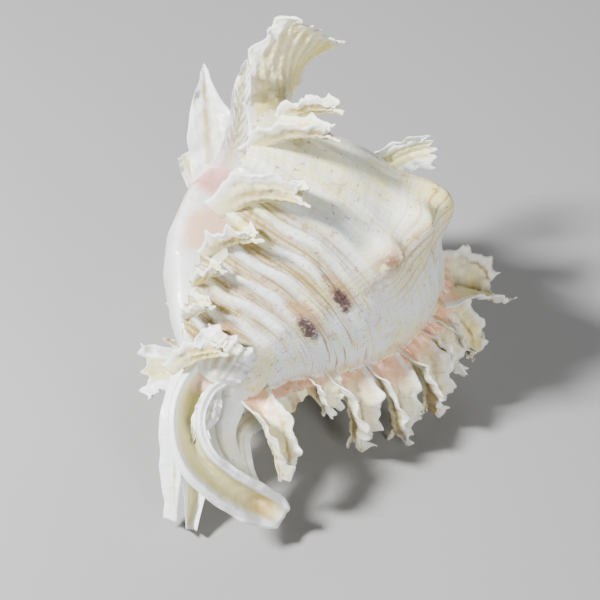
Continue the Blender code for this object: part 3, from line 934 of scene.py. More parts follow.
class LeafBuilder:
    """Turns cross sections into a finely worked closed sheet."""

    usual_half = 9.0
    thinnest = 0.8

    def __init__(self, seed: int) -> None:
        """Start the random numbers that make every frond different."""
        self.rng = np.random.default_rng(seed)

    def wrinkles(self, points: np.ndarray, pitch: float, count: int = 10) -> np.ndarray:
        """Smooth random waves in space.

        Args:
            points: positions, millimetres.
            pitch: typical size of a wave, millimetres.
            count: number of waves.

        Returns:
            Values of about -1 to 1.
        """
        total = np.zeros(points.shape[:-1])
        for _k in range(count):
            way = self.rng.normal(size=3)
            way = way / np.linalg.norm(way) * self.rng.uniform(0.7, 1.6) * 2.0 * math.pi / pitch
            total += np.sin(points @ way + self.rng.uniform(0.0, PHASES))
        return total / math.sqrt(count)

    @staticmethod
    def track(sections: list[Section], part: str, rows: int) -> np.ndarray:
        """One field of the sections smoothed along the frond.

        Args:
            sections: cross sections from root to tip.
            part: name of the field.
            rows: number of values along the frond.

        Returns:
            Sizes as one column, positions as rows, directions as rows of length one.
        """
        found = np.array([np.atleast_1d(getattr(s, part)) for s in sections], float)
        table = np.column_stack([np.linspace(0.0, 1.0, len(sections)), found])
        places = np.linspace(0.0, 1.0, rows)
        tracked = np.stack([smooth_table(places, table, k + 1)
                            for k in range(found.shape[1])], -1)
        if found.shape[1] == 1:
            return tracked
        if part != "spot":
            tracked = tracked / np.linalg.norm(tracked, axis=-1, keepdims=True)
        return tracked[:, None, :]

    def build(self, name: str, sections: list[Section], style: LeafStyle) -> bpy.types.Object:
        """Closed sheet with ribs, scales and a toothed, ruffled margin.

        Args:
            name: object name.
            sections: cross sections from root to tip.
            style: how it is worked.

        Returns:
            The linked object in shell axes.
        """
        spot, along, across, behind, half, fold, thick = (
            self.track(sections, part, style.rows)
            for part in ("spot", "along", "across", "behind", "half", "fold", "thick"))
        t = np.linspace(0.0, 1.0, style.rows)[:, None]
        v = np.linspace(-1.0, 1.0, style.cols)[None, :]
        phase = self.rng.uniform(0.0, PHASES, 10)
        edge = np.abs(v)
        side = np.sign(v)
        free = ramp(0.10, 0.40, t)
        tip = ramp(0.66, 1.0, t)
        size = np.clip(half / self.usual_half, 0.55, 1.4)

        saw = np.abs(np.sin(WAVES.saw * t + phase[0] + 1.1 * side)) ** 0.7 - 0.6
        lobes = 1.0 + style.lobes * free * (
            saw + 0.35 * np.sin(WAVES.saw_fine * t + phase[1] + side))
        if style.skew > 0.0:
            scallop = np.abs(np.sin(0.5 * math.pi * style.pleats * (style.skew * t - 1.0)
                                    + 0.5 * phase[4]))
            lobes = lobes + np.where(v < 0.0, 0.13 * free * (0.6 - scallop), 0.0)
        wide = half * v * (1.0 + (lobes - 1.0) * edge ** 2) * (1.0 - style.taper * tip) \
            * (1.0 - style.pinch * fall(0.05, 0.42, t))

        curl = style.ruffle * free * edge ** 3 * (
            np.sin(WAVES.ruffle * t + phase[2] + 2.0 * side)
            + 0.5 * np.sin(WAVES.ruffle_fine * t + phase[3]))
        ribs = (v + style.skew * t) * math.pi * style.pleats + phase[4] \
            + 0.5 * np.sin(WAVES.pleat_sway * t + phase[5])
        ridge = 1.0 - 2.0 * np.abs(np.sin(0.5 * ribs)) ** 0.8
        weight = ramp(style.pleat_from, 1.0, t) ** 0.7
        pleats = style.pleat * size * weight * ridge
        front = PHASES * (t * WAVES.scale_rows + WAVES.scale_arch * np.cos(v * 3.0)
                          + 0.12 * np.sin(v * 13.0 + phase[6]))
        scales = style.lamella * free * (0.5 + 0.5 * np.sin(front)) ** 2

        fingers = np.cos(math.pi * style.fingers * v + 0.3 * np.sin(phase[7]))
        reach = style.tooth * ramp(0.7, 1.0, t) ** 1.5 * (
            fingers + style.point * (0.6 - 1.3 * edge)
            + 0.35 * np.sin(v * WAVES.tooth_fine + phase[8]))
        arc = 1.0 - np.sqrt(np.clip(1.0 - edge ** 2, 0.0, 1.0))
        reach = reach - style.round_tip * half * arc * ramp(0.70, 1.0, t)
        sag = fold * (1.0 + (style.deepen - 1.0) * free) * edge ** 1.5 + curl
        sag = sag + style.round_tip * fold * ramp(0.87, 1.0, t) * (1.0 - edge ** 1.5)
        points = spot + across * wide[..., None] - behind * sag[..., None] \
            + along * reach[..., None]

        rough = style.crumple * free * self.wrinkles(points, WAVES.wrinkle) \
            + 0.4 * style.crumple * free * self.wrinkles(points, WAVES.wrinkle_fine)
        points = points + behind * rough[..., None] + across * (0.5 * rough * v)[..., None]
        wall = ramp(0.24, 0.62, edge) * (1.0 - 0.8 * ramp(0.62, 1.0, edge))
        body = thick * (1.0 - 0.50 * edge ** 2) * (1.0 - 0.30 * tip) + style.rim * wall \
            * (1.0 - 0.6 * ramp(0.80, 1.0, t))
        outer = points + behind * (pleats * 0.6 + scales)[..., None]
        depth = np.maximum(body, self.thinnest) - pleats * 0.6 + scales
        inner = points - behind * depth[..., None]
        tint = style.tint * (ridge * weight)
        return MeshKit.sheet(name, outer, inner, {
            "along": (t, t), "across": (v, v), "inner": (0.0, style.blush),
            "ridge": (tint, -tint)})


@dataclass
class FrondRow:
    """All fronds of one varix."""

    zone: Zone
    fan_root: float = 16.0
    turned_from: float = 0.28

    def sections(self, frond: Frond) -> list[Section]:
        """Cross sections of one frond from its buried root to its tip.

        Args:
            frond: its sizes.

        Returns:
            The sections in shell axes.
        """
        base, azimuth = SurfaceField.root(frond.sweep, frond.level)
        radial = Vector((math.cos(azimuth), math.sin(azimuth), 0.0))
        back = Vector((-math.sin(azimuth), math.cos(azimuth), 0.0))
        tilt = math.radians(frond.lift)
        out = radial * math.cos(tilt) + UPRIGHT * math.sin(tilt)
        across = UPRIGHT * math.cos(tilt) - radial * math.sin(tilt)
        buried = 4.0 + 0.45 * frond.root
        spot = base - out * buried
        count = 9 if frond.root > self.fan_root else 6
        stride = (frond.length + buried) / (count - 1)
        most = ROWS[self.zone].twist if frond.level > self.turned_from else 0.0
        found = []
        for i in range(count):
            t = i / (count - 1)
            angle = math.radians(frond.lean + frond.curl * t ** frond.power)
            along = out * math.cos(angle) + back * math.sin(angle)
            behind = back * math.cos(angle) - out * math.sin(angle)
            if i > 0:
                spot = spot + along * stride
            turn = Matrix.Rotation(math.radians(-most * t), 3, along)
            if t < 0.5:
                half = frond.root + (frond.waist - frond.root) * (t / 0.5)
            else:
                half = frond.waist + (frond.tip - frond.waist) * ((t - 0.5) / 0.5) ** 1.3
            found.append(Section(spot.copy(), along, turn @ across, turn @ behind, half,
                                 frond.fold * (1.0 - 0.3 * t), 2.8 * (1.0 - 0.5 * t)))
        return found

    def style(self, frond: Frond, number: int) -> LeafStyle:
        """How one frond of the row is worked.

        Args:
            frond: its sizes.
            number: its place in the row, from 0.

        Returns:
            The style of the big fan, of the lip's leaves or of the hollow fronds.
        """
        own = {"ruffle": frond.ruffle, "tooth": frond.tooth}
        if frond.root > self.fan_root:
            return LeafStyle(rows=96, cols=97, pleats=9.0, pleat=0.5, pleat_from=0.22, taper=0.0,
                             lamella=0.15, fingers=7.0, point=-0.4, lobes=0.03, crumple=0.25,
                             skew=1.25, pinch=0.45, round_tip=0.48, tint=0.34, **own)
        if self.zone is Zone.LIP:
            return LeafStyle(pleats=4.0 + number % 2, pleat=1.05, deepen=1.7, taper=0.45,
                             fingers=2.0, point=1.7, pinch=0.5, lobes=0.08, crumple=0.22, **own)
        return LeafStyle(pleats=2.5 + 0.5 * (number % 3), pleat=1.25, deepen=2.3, taper=0.35,
                         fingers=2.0 + number % 2, point=1.0, crumple=0.50, **own)

    def build(self) -> bpy.types.Object:
        """Every frond of the row as one finished piece.

        Returns:
            The piece in shell axes.
        """
        plan = ROWS[self.zone]
        builder = LeafBuilder(plan.seed)
        parts = [builder.build(f"{self.zone.value}_{number + 1}", self.sections(frond),
                               self.style(frond, number))
                 for number, frond in enumerate(plan.fronds)]
        if plan.web is not None:
            parts.append(Webbing(self.zone).build())
        obj = MeshKit.join(f"{self.zone.value}_fronds", parts)
        obj.data.materials.append(ShellFinishes.fronds(plan.glaze, plan.pink, plan.cream))
        return obj


@dataclass
class Webbing:
    """Low ruffled frill that joins the fronds of the older varices at their roots."""

    zone: Zone
    levels: tuple[float, float] = (0.12, 0.86)
    height: float = 8.0
    buried: float = 5.0
    lean: float = 16.0
    curl: float = 38.0
    rows: int = 260
    cols: int = 13
    seed: int = 21

    def build(self) -> bpy.types.Object:
        """Closed sheet that follows the varix, leaning back like its fronds.

        Returns:
            The sheet, to be joined to its row.
        """
        plan = ROWS[self.zone]
        at = [frond.level for frond in plan.fronds]
        lifts = [frond.lift for frond in plan.fronds]
        phase = np.random.default_rng(self.seed).uniform(0.0, PHASES, 6)
        front = np.zeros((self.rows, self.cols, 3))
        rear = np.zeros_like(front)
        ridge = np.zeros((self.rows, self.cols))
        across = np.linspace(0.0, 1.0, self.cols)
        for i in range(self.rows):
            f = i / (self.rows - 1)
            level = self.levels[0] + f * (self.levels[1] - self.levels[0])
            base, azimuth = SurfaceField.root(plan.web, level)
            near = min(abs(level - place) for place in at)
            lift = math.radians(float(np.interp(level, at, lifts)) * 0.6)
            radial = np.array((math.cos(azimuth), math.sin(azimuth), 0.0))
            back = np.array((-math.sin(azimuth), math.cos(azimuth), 0.0))
            out = radial * math.cos(lift) + np.array(UPRIGHT) * math.sin(lift)
            wave = math.sin(f * 74.0 + phase[0]) + 0.6 * math.sin(f * 131.0 + phase[1])
            fade = min(1.0, 14.0 * f, 14.0 * (1.0 - f))
            tall = self.height * fade * (0.75 + 0.35 * math.cos(near * 60.0)
                                         + 0.14 * math.sin(f * 97.0 + phase[2]))
            stride = (tall + self.buried) / (self.cols - 1)
            spot = np.array(base) - out * self.buried
            for j, t in enumerate(across):
                angle = math.radians(self.lean + self.curl * t)
                if j:
                    spot = spot + (out * math.cos(angle) + back * math.sin(angle)) * stride
                front[i, j] = spot + back * (0.9 * wave * t ** 2)
                rear[i, j] = front[i, j] + back * (1.9 - 1.1 * t)
            ridge[i] = wave * across
        along = 0.15 + 0.55 * across
        return MeshKit.sheet(f"{self.zone.value}_webbing", front, rear, {
            "along": (along, along), "across": (0.0, 0.0), "inner": (1.0, 0.0),
            "ridge": (ridge, ridge)})


@dataclass
class CanalPiece:
    """The spouts, blades and single spines that stand on the shell."""

    rows: int = 60
    cols: int = 37
    seed: int = 77
    stations: int = 13

    @staticmethod
    def curve_point(path: Sequence[Sequence[float]], t: float) -> Vector:
        """Point on a smooth curve through given points.

        Args:
            path: the points.
            t: how far along, 0 to 1.

        Returns:
            The point.
        """
        place = t * (len(path) - 1)
        k = min(int(place), len(path) - 2)
        f = place - k
        p1 = Vector(path[k])
        p2 = Vector(path[k + 1])
        p0 = Vector(path[k - 1]) if k > 0 else p1 * 2.0 - p2
        p3 = Vector(path[k + 2]) if k + 2 < len(path) else p2 * 2.0 - p1
        return 0.5 * (2.0 * p1 + (p2 - p0) * f + (2.0 * p0 - 5.0 * p1 + 4.0 * p2 - p3) * f * f
                      + (3.0 * p1 - p0 - 3.0 * p2 + p3) * f ** 3)

    def sections(self, spec: Channel) -> list[Section]:
        """Cross sections of one channel.

        Args:
            spec: its path and sizes.

        Returns:
            The sections from root to tip in shell axes.
        """
        face = Vector(spec.facing).normalized()
        found = []
        for i in range(self.stations):
            t = i / (self.stations - 1)
            along = self.curve_point(spec.path, min(t + 0.02, 1.0)) \
                - self.curve_point(spec.path, max(t - 0.02, 0.0))
            along.normalize()
            behind = -(face - along * face.dot(along)).normalized()
            half = float(np.interp(t * (len(spec.halves) - 1), range(len(spec.halves)),
                                   spec.halves))
            found.append(Section(self.curve_point(spec.path, t), along, behind.cross(along),
                                 behind, half, spec.fold, spec.thick * (1.0 - 0.35 * t)))
        return found

    def styles(self) -> dict[str, LeafStyle]:
        """How every channel is worked.

        Returns:
            The styles by channel name.
        """
        plain = LeafStyle(rows=self.rows, cols=self.cols, ruffle=0.6, tooth=0.5, pleats=1.0,
                          pleat=0.12, lamella=0.08, taper=0.15, fingers=1.0, point=0.3,
                          lobes=0.03, crumple=0.12)
        bare = replace(plain, ruffle=0.5, pleat=0.1, lamella=0.06, taper=0.3, point=0.0)
        leafy = replace(plain, ruffle=1.4, tooth=1.8, pleats=5.0, pleat=0.7, lamella=0.2,
                        taper=0.0, fingers=5.0, point=0.0, lobes=0.12, crumple=0.3)
        own = {
            "canal_spout": replace(bare, taper=0.0, rim=5.0, round_tip=0.9, lobes=0.02,
                                   tooth=0.2, crumple=0.16),
            "canal_column": replace(bare, taper=0.0, ruffle=0.2),
            "ribbed_lobe": replace(leafy, pleats=4.0, pleat=0.9, taper=0.3),
            "brow_leaf": replace(leafy, pleats=6.0, fingers=3.0, point=0.8, tooth=1.0,
                                 lobes=0.08, taper=0.15),
            "left_fan": replace(leafy, pleats=2.5, pleat=0.5, fingers=3.0, lobes=0.07,
                                crumple=0.2, tooth=2.2),
            "blade_spine": replace(bare, taper=0.6, point=1.6, tooth=1.2, lobes=0.06,
                                   ruffle=1.0, crumple=0.2, blush=0.15),
            "fan_strip": replace(bare, taper=0.35, point=1.0, tooth=1.0, lobes=0.06,
                                 pleats=2.0, pleat=0.25, lamella=0.3, blush=0.5),
            "old_canal_blade": replace(bare, taper=0.15, point=0.3, blush=0.10),
            "spire_spine": replace(leafy, fingers=4.0, lobes=0.16, pleat=0.9),
        }
        return {name: own.get(name, plain) for name in CHANNELS}

    def build(self) -> bpy.types.Object:
        """All channels as one finished piece.

        Returns:
            The piece in shell axes.
        """
        builder = LeafBuilder(self.seed)
        styles = self.styles()
        parts = [builder.build(name, self.sections(spec), styles[name])
                 for name, spec in CHANNELS.items()]
        obj = MeshKit.join("canal_and_spines", parts)
        spoon = tuple(REST.matrix() @ Vector(SPOON_END))
        # the inner colour fills the trough as painted shade, kept dark in the middle by the pale
        # margin from 0.40 across
        obj.data.materials.append(ShellFinishes.fronds(CANAL_GLAZE, 2.0, 0.06, 0.40, spoon))
        return obj


@dataclass
class Station:
    """One cross section of the aperture: its middle, half width and half height."""

    centre: Vector
    across: Vector
    tall: float
    inward: Vector


@dataclass
class Aperture:
    """Inside of the aperture, cut out of the whorls, millimetres and degrees."""

    mouth: tuple[tuple[Point, Point, float], ...] = (
        ((33.0, -66.0, -24.0), (21.0, 4.0, 0.0), 30.0),
        ((34.0, -44.0, -25.0), (21.0, 4.0, 0.0), 31.0),
        ((38.0, -28.0, -26.0), (16.0, -10.5, 0.0), 31.0),
    )
    steps: int = 12
    stride: float = 24.0
    shrink: float = 0.55
    reach: float = 42.0
    half: float = 20.0
    tall: float = 30.0
    below: float = 24.0
    inward: float = 0.3
    ribs: float = 16.0
    rib: float = 0.012
    sides: int = 64
    between: int = 5

    def stations(self) -> list[Station]:
        """Cross sections from the mouth to the end of the hollow.

        Returns:
            Three at the mouth and the others along the last whorl.
        """
        found = [Station(Vector(centre), Vector(across), tall, Vector())
                 for centre, across, tall in self.mouth]
        for step in range(1, self.steps + 1):
            growth = -self.stride * step
            angle = math.radians(FORM.lip_azimuth - 6.0 - growth)
            size = math.exp(self.shrink * growth / TURN)
            reach = self.reach * size
            half = self.half * size
            centre = Vector((reach * math.cos(angle), reach * math.sin(angle),
                             -self.below + self.below * (1.0 - size)))
            across = Vector((half * math.cos(angle), half * math.sin(angle), 0.0))
            inward = centre.normalized() * self.inward
            inward.z = 0.0
            found.append(Station(centre, across, self.tall * size, inward))
        return found

    def ring(self, centre: Vector, across: Vector, tall: float, inward: Vector,
             ribbed: float) -> list[Point]:
        """Points round one cross section, narrower and deeper below.

        Args:
            centre: its middle.
            across: half its width, as a vector.
            tall: half its height.
            inward: how far its lower side leans for each millimetre down.
            ribbed: height of the ribs as a share of the width.

        Returns:
            One point for each side.
        """
        points = []
        for m in range(self.sides):
            turn = 2.0 * math.pi * m / self.sides
            narrow = 1.0 - 0.25 * max(0.0, -math.sin(turn)) ** 2
            rib = 1.0 + ribbed * math.cos(turn * self.ribs)
            rise = tall * math.sin(turn) * (1.08 if math.sin(turn) < 0.0 else 1.0)
            point = centre + across * (math.cos(turn) * narrow * rib)
            point.z += rise
            points.append(tuple(point + inward * min(rise, 0.0)))
        return points

    def build(self) -> bpy.types.Object:
        """Smooth closed tube that follows the last whorl inwards.

        Returns:
            The linked cutter in shell axes.
        """
        stations = self.stations()
        path = [station.centre for station in stations]
        points = []
        total = (len(stations) - 1) * self.between + 1
        for i in range(total):
            place = i / self.between
            k = min(int(place), len(stations) - 2)
            f = place - k
            one, two = stations[k], stations[k + 1]
            points += self.ring(CanalPiece.curve_point(path, i / (total - 1)),
                                one.across.lerp(two.across, f),
                                one.tall * (1.0 - f) + two.tall * f,
                                one.inward.lerp(two.inward, f),
                                self.rib * float(ramp(0.0, 2.0, np.array(place))))
        faces = MeshKit.grid_faces(total, self.sides)
        for i in range(total - 1):
            a = i * self.sides
            faces.append((a + self.sides - 1, a, a + self.sides, a + 2 * self.sides - 1))
        points += [tuple(path[0]), tuple(path[-1])]
        last = (total - 1) * self.sides
        for m in range(self.sides):
            n = (m + 1) % self.sides
            faces += [(len(points) - 2, n, m), (len(points) - 1, last + m, last + n)]
        return MeshKit.piece("aperture_cutter", np.array(points), faces)


@dataclass
class Whorls:
    """The coiled body of the shell with its open aperture."""

    columns: int = 400
    rows: int = 212
    last_sweep: float = -358.6
    sharp_from: float = 32.0
    neck: tuple[float, float] = (-78.0, -92.0)
    inside: tuple[float, float] = (1.6, 4.5)

    def sweeps(self) -> np.ndarray:
        """Growth angles of the columns, closer together on the varix steps.

        Returns:
            The angles from the lip backwards, degrees.
        """
        plain = np.linspace(self.last_sweep, 0.0, self.columns)
        marks = [np.linspace(v - 4.0, v + 4.5, 12) for v in FORM.varices[1:3]]
        return np.unique(np.round(np.concatenate([plain, *marks]), 3))[::-1]

    def build(self) -> tuple[bpy.types.Object, SurfaceField]:
        """Closed whorls with the aperture cut in, coloured by growth and level.

        Returns:
            The finished piece and the surface that it was made from.
        """
        heights = np.linspace(FORM.apex - 1.0, FORM.foot, self.rows)
        surface = SurfaceField(self.sweeps(), heights)
        relief, surface.groove = Relief().heights(surface)
        radius = np.maximum(surface.radius + relief, FORM.thinnest)
        foot = (1.0 - 0.30 * ramp(*self.neck, heights)) \
            * (1.0 - 0.40 * ramp(FORM.foot + 8.0, FORM.foot, heights))
        radius = radius * foot[None, :]
        azimuth = surface.azimuth()
        points = np.stack([radius * np.cos(azimuth),
                           radius * np.sin(azimuth) + FORM.bend(heights)[None, :],
                           np.broadcast_to(heights[None, :], radius.shape)], -1).reshape(-1, 3)
        ends = [[0.0, 0.0, FORM.apex], [0.0, float(FORM.bend(FORM.foot)), FORM.foot - 3.0]]
        total, cols = radius.shape
        faces = MeshKit.grid_faces(total, cols, wrap=True)
        top = total * cols
        for i in range(total):
            a = i * cols
            b = ((i + 1) % total) * cols
            faces += [(top, a, b), (top + 1, b + cols - 1, a + cols - 1)]
        obj = MeshKit.piece("whorls", np.concatenate([points, ends]), faces)
        hole = Aperture().build()
        cut = obj.modifiers.new("aperture", "BOOLEAN")
        cut.operation = "DIFFERENCE"
        cut.object = hole
        cut.solver = "MANIFOLD"
        mesh = MeshKit.frozen(obj)
        obj.modifiers.remove(cut)
        obj.data = mesh
        bpy.data.objects.remove(hole, do_unlink=True)
        mesh.set_sharp_from_angle(angle=math.radians(self.sharp_from))
        values = surface.read(MeshKit.spots(mesh).astype(float))
        values["inside"] = ramp(*self.inside, values.pop("depth"))
        MeshKit.write(mesh, values)
        mesh.materials.clear()
        mesh.materials.append(ShellFinishes.whorls(BODY_GLAZE))
        return obj, surface


@dataclass
class EdgeScales:
    """Small overlapping scales along the edges of the two older varices."""

    count: int = 120
    size: float = 1.6
    seed: int = 4
    sunk: float = 0.4
    rows: tuple[float, float] = (-116.4, -234.6)

    def line(self, surface: SurfaceField, growth: float) -> bpy.types.Object:
        """Curve along one old lip, just on the whorl's surface.

        Args:
            surface: the shell's surface.
            growth: growth angle of the lip, degrees.

        Returns:
            The linked curve in shell axes.
        """
        levels = np.linspace(0.10, 0.80, 90)
        _radius, zs = FORM.outline_at(growth)
        heights = np.interp(levels, FORM.levels, zs)
        azimuth = np.radians(FORM.lip_azimuth - growth - FORM.slant_at(heights))
        nearest = int(np.argmin(np.abs(surface.sweeps - growth)))
        radius = np.interp(-heights, -surface.heights, surface.radius[nearest]) - self.sunk
        curve = bpy.data.curves.new("old_lip", "CURVE")
        curve.dimensions = "3D"
        spline = curve.splines.new("POLY")
        spline.points.add(len(levels) - 1)
        for point, r, angle, height in zip(spline.points, radius, azimuth, heights):
            point.co = (r * math.cos(angle), r * math.sin(angle) + float(FORM.bend(height)),
                        float(height), 1.0)
        return MeshKit.place("old_lip", curve)

    @staticmethod
    def tree() -> bpy.types.NodeTree:
        """Node tree that strings flattened scales of random size along a curve.

        Returns:
            The tree, with named inputs for count, size, seed and finish.
        """
        tree = bpy.data.node_groups.new("edge_scales", "GeometryNodeTree")
        for name, kind in (("Geometry", "Geometry"), ("Count", "Int"), ("Size", "Float"),
                           ("Seed", "Int"), ("Finish", "Material")):
            tree.interface.new_socket(name, in_out="INPUT", socket_type=f"NodeSocket{kind}")
        tree.interface.new_socket("Geometry", in_out="OUTPUT", socket_type="NodeSocketGeometry")
        node = {name: tree.nodes.new(kind) for name, kind in (
            ("given", "NodeGroupInput"), ("points", "GeometryNodeCurveToPoints"),
            ("ball", "GeometryNodeMeshIcoSphere"), ("vary", "FunctionNodeRandomValue"),
            ("grow", "ShaderNodeVectorMath"), ("place", "GeometryNodeInstanceOnPoints"),
            ("real", "GeometryNodeRealizeInstances"), ("coat", "GeometryNodeSetMaterial"),
            ("out", "NodeGroupOutput"))}
        node["points"].mode = "COUNT"
        node["ball"].inputs["Radius"].default_value = 1.0
        node["ball"].inputs["Subdivisions"].default_value = 3
        node["vary"].data_type = "FLOAT_VECTOR"
        node["vary"].inputs[0].default_value = (0.30, 0.60, 0.30)
        node["vary"].inputs[1].default_value = (1.10, 1.20, 0.80)
        node["grow"].operation = "SCALE"
        for source, output, target, socket in (
                ("given", "Geometry", "points", "Curve"), ("given", "Count", "points", "Count"),
                ("given", "Seed", "vary", "Seed"), ("vary", "Value", "grow", 0),
                ("given", "Size", "grow", "Scale"), ("points", "Points", "place", "Points"),
                ("ball", "Mesh", "place", "Instance"), ("points", "Rotation", "place", "Rotation"),
                ("grow", "Vector", "place", "Scale"), ("place", "Instances", "real", "Geometry"),
                ("real", "Geometry", "coat", "Geometry"), ("given", "Finish", "coat", "Material"),
                ("coat", "Geometry", "out", "Geometry")):
            tree.links.new(node[source].outputs[output], node[target].inputs[socket])
        return tree

    def build(self, surface: SurfaceField) -> bpy.types.Object:
        """Scales of both old lips as one plain mesh.

        Args:
            surface: the shell's surface.

        Returns:
            The finished piece.
        """
        tree = self.tree()
        wanted = {"Count": self.count, "Size": self.size, "Seed": self.seed,
                  "Finish": ShellFinishes.scales(BODY_GLAZE)}
        sockets = {item.name: item.identifier for item in tree.interface.items_tree
                   if item.in_out == "INPUT"}
        parts = []
        for growth in self.rows:
            line = self.line(surface, growth)
            work = line.modifiers.new("scales", "NODES")
            work.node_group = tree
            for label, value in wanted.items():
                work[sockets[label]] = value
            mesh = MeshKit.frozen(line)
            bpy.data.objects.remove(line, do_unlink=True)
            parts.append(MeshKit.place("edge_scales", mesh))
        return MeshKit.join("edge_scales", parts)


class Tone:
    """A number that a material works out at every point, open to plain arithmetic."""

    def __init__(self, painter: "NodePainter", socket: Socket) -> None:
        """Wrap a socket of the painter's tree."""
        self.painter = painter
        self.socket = socket

    def __add__(self, other: "Tone | float") -> "Tone":
        """Sum."""
        return self.painter.math("ADD", self, other)

    def __sub__(self, other: "Tone | float") -> "Tone":
        """Difference."""
        return self.painter.math("SUBTRACT", self, other)

    def __rsub__(self, other: float) -> "Tone":
        """Difference from a plain number."""
        return self.painter.math("SUBTRACT", other, self)

    def __mul__(self, other: "Tone | float") -> "Tone":
        """Product."""
        return self.painter.math("MULTIPLY", self, other)


class NodePainter:
    """Builds one material: a colour laid up in coats, with roughness and bump."""

    def __init__(self, name: str, base: Color) -> None:
        """New material whose first coat has the base colour.

        Args:
            name: material name.
            base: colour of the first coat.
        """
        self.material = bpy.data.materials.new(name)
        self.material.use_nodes = True
        self.tree = self.material.node_tree
        self.shader = self.tree.nodes["Principled BSDF"]
        self.position = self.tree.nodes.new("ShaderNodeTexCoord").outputs["Object"]
        self.paint: Color | Socket = base

    def put(self, value: Tone | Socket | Color | float, socket: Socket) -> None:
        """Link a tone or socket to a socket, or set it to a colour or number.

        Args:
            value: what the socket gets.
            socket: an input.
        """
        if isinstance(value, Tone):
            value = value.socket
        if isinstance(value, Socket):
            self.tree.links.new(value, socket)
        else:
            socket.default_value = (*value, 1.0) if isinstance(value, tuple) else value

    def math(self, how: str, a: Tone | float, b: Tone | float = 0.0) -> Tone:
        """Result of a Math node.

        Args:
            how: name of the operation.
            a: first value.
            b: second value.

        Returns:
            The result.
        """
        node = self.tree.nodes.new("ShaderNodeMath")
        node.operation = how
        self.put(a, node.inputs[0])
        self.put(b, node.inputs[1])
        return Tone(self, node.outputs[0])

    def step(self, value: Tone, low: float, high: float) -> Tone:
        """Smooth step between two values, rising or falling.

        Args:
            value: what is read.
            low: where the step is 0.
            high: where it is 1.

        Returns:
            Values from 0 to 1.
        """
        node = self.tree.nodes.new("ShaderNodeMapRange")
        node.interpolation_type = "SMOOTHSTEP"
        self.put(value, node.inputs["Value"])
        flip = low > high
        node.inputs["From Min"].default_value = min(low, high)
        node.inputs["From Max"].default_value = max(low, high)
        node.inputs["To Min"].default_value = 1.0 if flip else 0.0
        node.inputs["To Max"].default_value = 0.0 if flip else 1.0
        return Tone(self, node.outputs["Result"])

    def band(self, value: Tone, centre: float, half: float) -> Tone:
        """1 at the centre, falling smoothly to 0 at the half width."""
        return self.step(self.math("ABSOLUTE", value - centre), half, 0.0)

    def value(self, name: str) -> Tone:
        """A float attribute of the mesh.

        Args:
            name: its name.

        Returns:
            Its values.
        """
        node = self.tree.nodes.new("ShaderNodeAttribute")
        node.attribute_name = name
        return Tone(self, node.outputs["Fac"])

    def near(self, place: Point, reach: float) -> Tone:
        """Nearness to a place in the row frame.

        Args:
            place: the place, metres.
            reach: where it is 0, metres from the place.

        Returns:
            Values from 0 to 1.
        """
        node = self.tree.nodes.new("ShaderNodeVectorMath")
        node.operation = "DISTANCE"
        self.put(self.position, node.inputs[0])
        node.inputs[1].default_value = place
        return self.step(Tone(self, node.outputs["Value"]), reach, reach * 0.35)

    def noise(self, scale: float, detail: float = 4.0, rough: float = 0.55,
              vector: Socket | None = None) -> Tone:
        """Noise over object coordinates in metres, or over a given vector.

        Args:
            scale: its frequency.
            detail: number of finer layers.
            rough: weight of the finer layers.
            vector: what it is drawn over instead of object coordinates.

        Returns:
            Values about 0.5.
        """
        node = self.tree.nodes.new("ShaderNodeTexNoise")
        self.put(vector or self.position, node.inputs["Vector"])
        node.inputs["Scale"].default_value = scale
        node.inputs["Detail"].default_value = detail
        node.inputs["Roughness"].default_value = rough
        return Tone(self, node.outputs["Fac"])

    def drawn(self, x: Tone, y: Tone | float, shift: float = 0.0, detail: float = 3.0,
              rough: float = 0.6) -> Tone:
        """Noise drawn out along two values of the surface.

        Args:
            x: the first value, scaled as the noise needs it.
            y: the second one.
            shift: picks another draw of the same noise.
            detail: number of finer layers.
            rough: weight of the finer layers.

        Returns:
            Values about 0.5.
        """
        node = self.tree.nodes.new("ShaderNodeCombineXYZ")
        for part, socket in zip((x, y, shift), node.inputs):
            self.put(part, socket)
        return self.noise(1.0, detail, rough, node.outputs["Vector"])

    def coat(self, over: Color, amount: Tone | float) -> None:
        """Lay a colour over the coats so far by an amount.

        Args:
            over: the colour.
            amount: how much of it, 0 to 1.
        """
        node = self.tree.nodes.new("ShaderNodeMix")
        node.data_type = "RGBA"
        for part, index in ((amount, 0), (self.paint, 6), (over, 7)):
            self.put(part, node.inputs[index])
        self.paint = node.outputs[2]

    def specks(self, over: Color, kind: Speckle) -> None:
        """Lay a colour where a noise is high."""
        noise = self.noise(kind.scale, kind.detail, kind.rough)
        self.coat(over, self.step(noise, kind.low, kind.high) * kind.amount)

    def finish(self, rough: Tone, height: Tone, depth: float = 0.0006) -> bpy.types.Material:
        """Connect colour, roughness and bump to the shader.

        Args:
            rough: roughness.
            height: height of the bump, 0 to about 1.
            depth: what a height of 1 stands for, in metres.

        Returns:
            The finished material.
        """
        self.put(self.paint, self.shader.inputs["Base Color"])
        self.put(rough, self.shader.inputs["Roughness"])
        bump = self.tree.nodes.new("ShaderNodeBump")
        bump.inputs["Strength"].default_value = 0.8
        bump.inputs["Distance"].default_value = depth
        self.put(height, bump.inputs["Height"])
        self.put(bump.outputs["Normal"], self.shader.inputs["Normal"])
        self.shader.inputs["IOR"].default_value = 1.52
        self.shader.inputs["Coat Weight"].default_value = 0.12
        self.shader.inputs["Coat Roughness"].default_value = 0.16
        return self.material


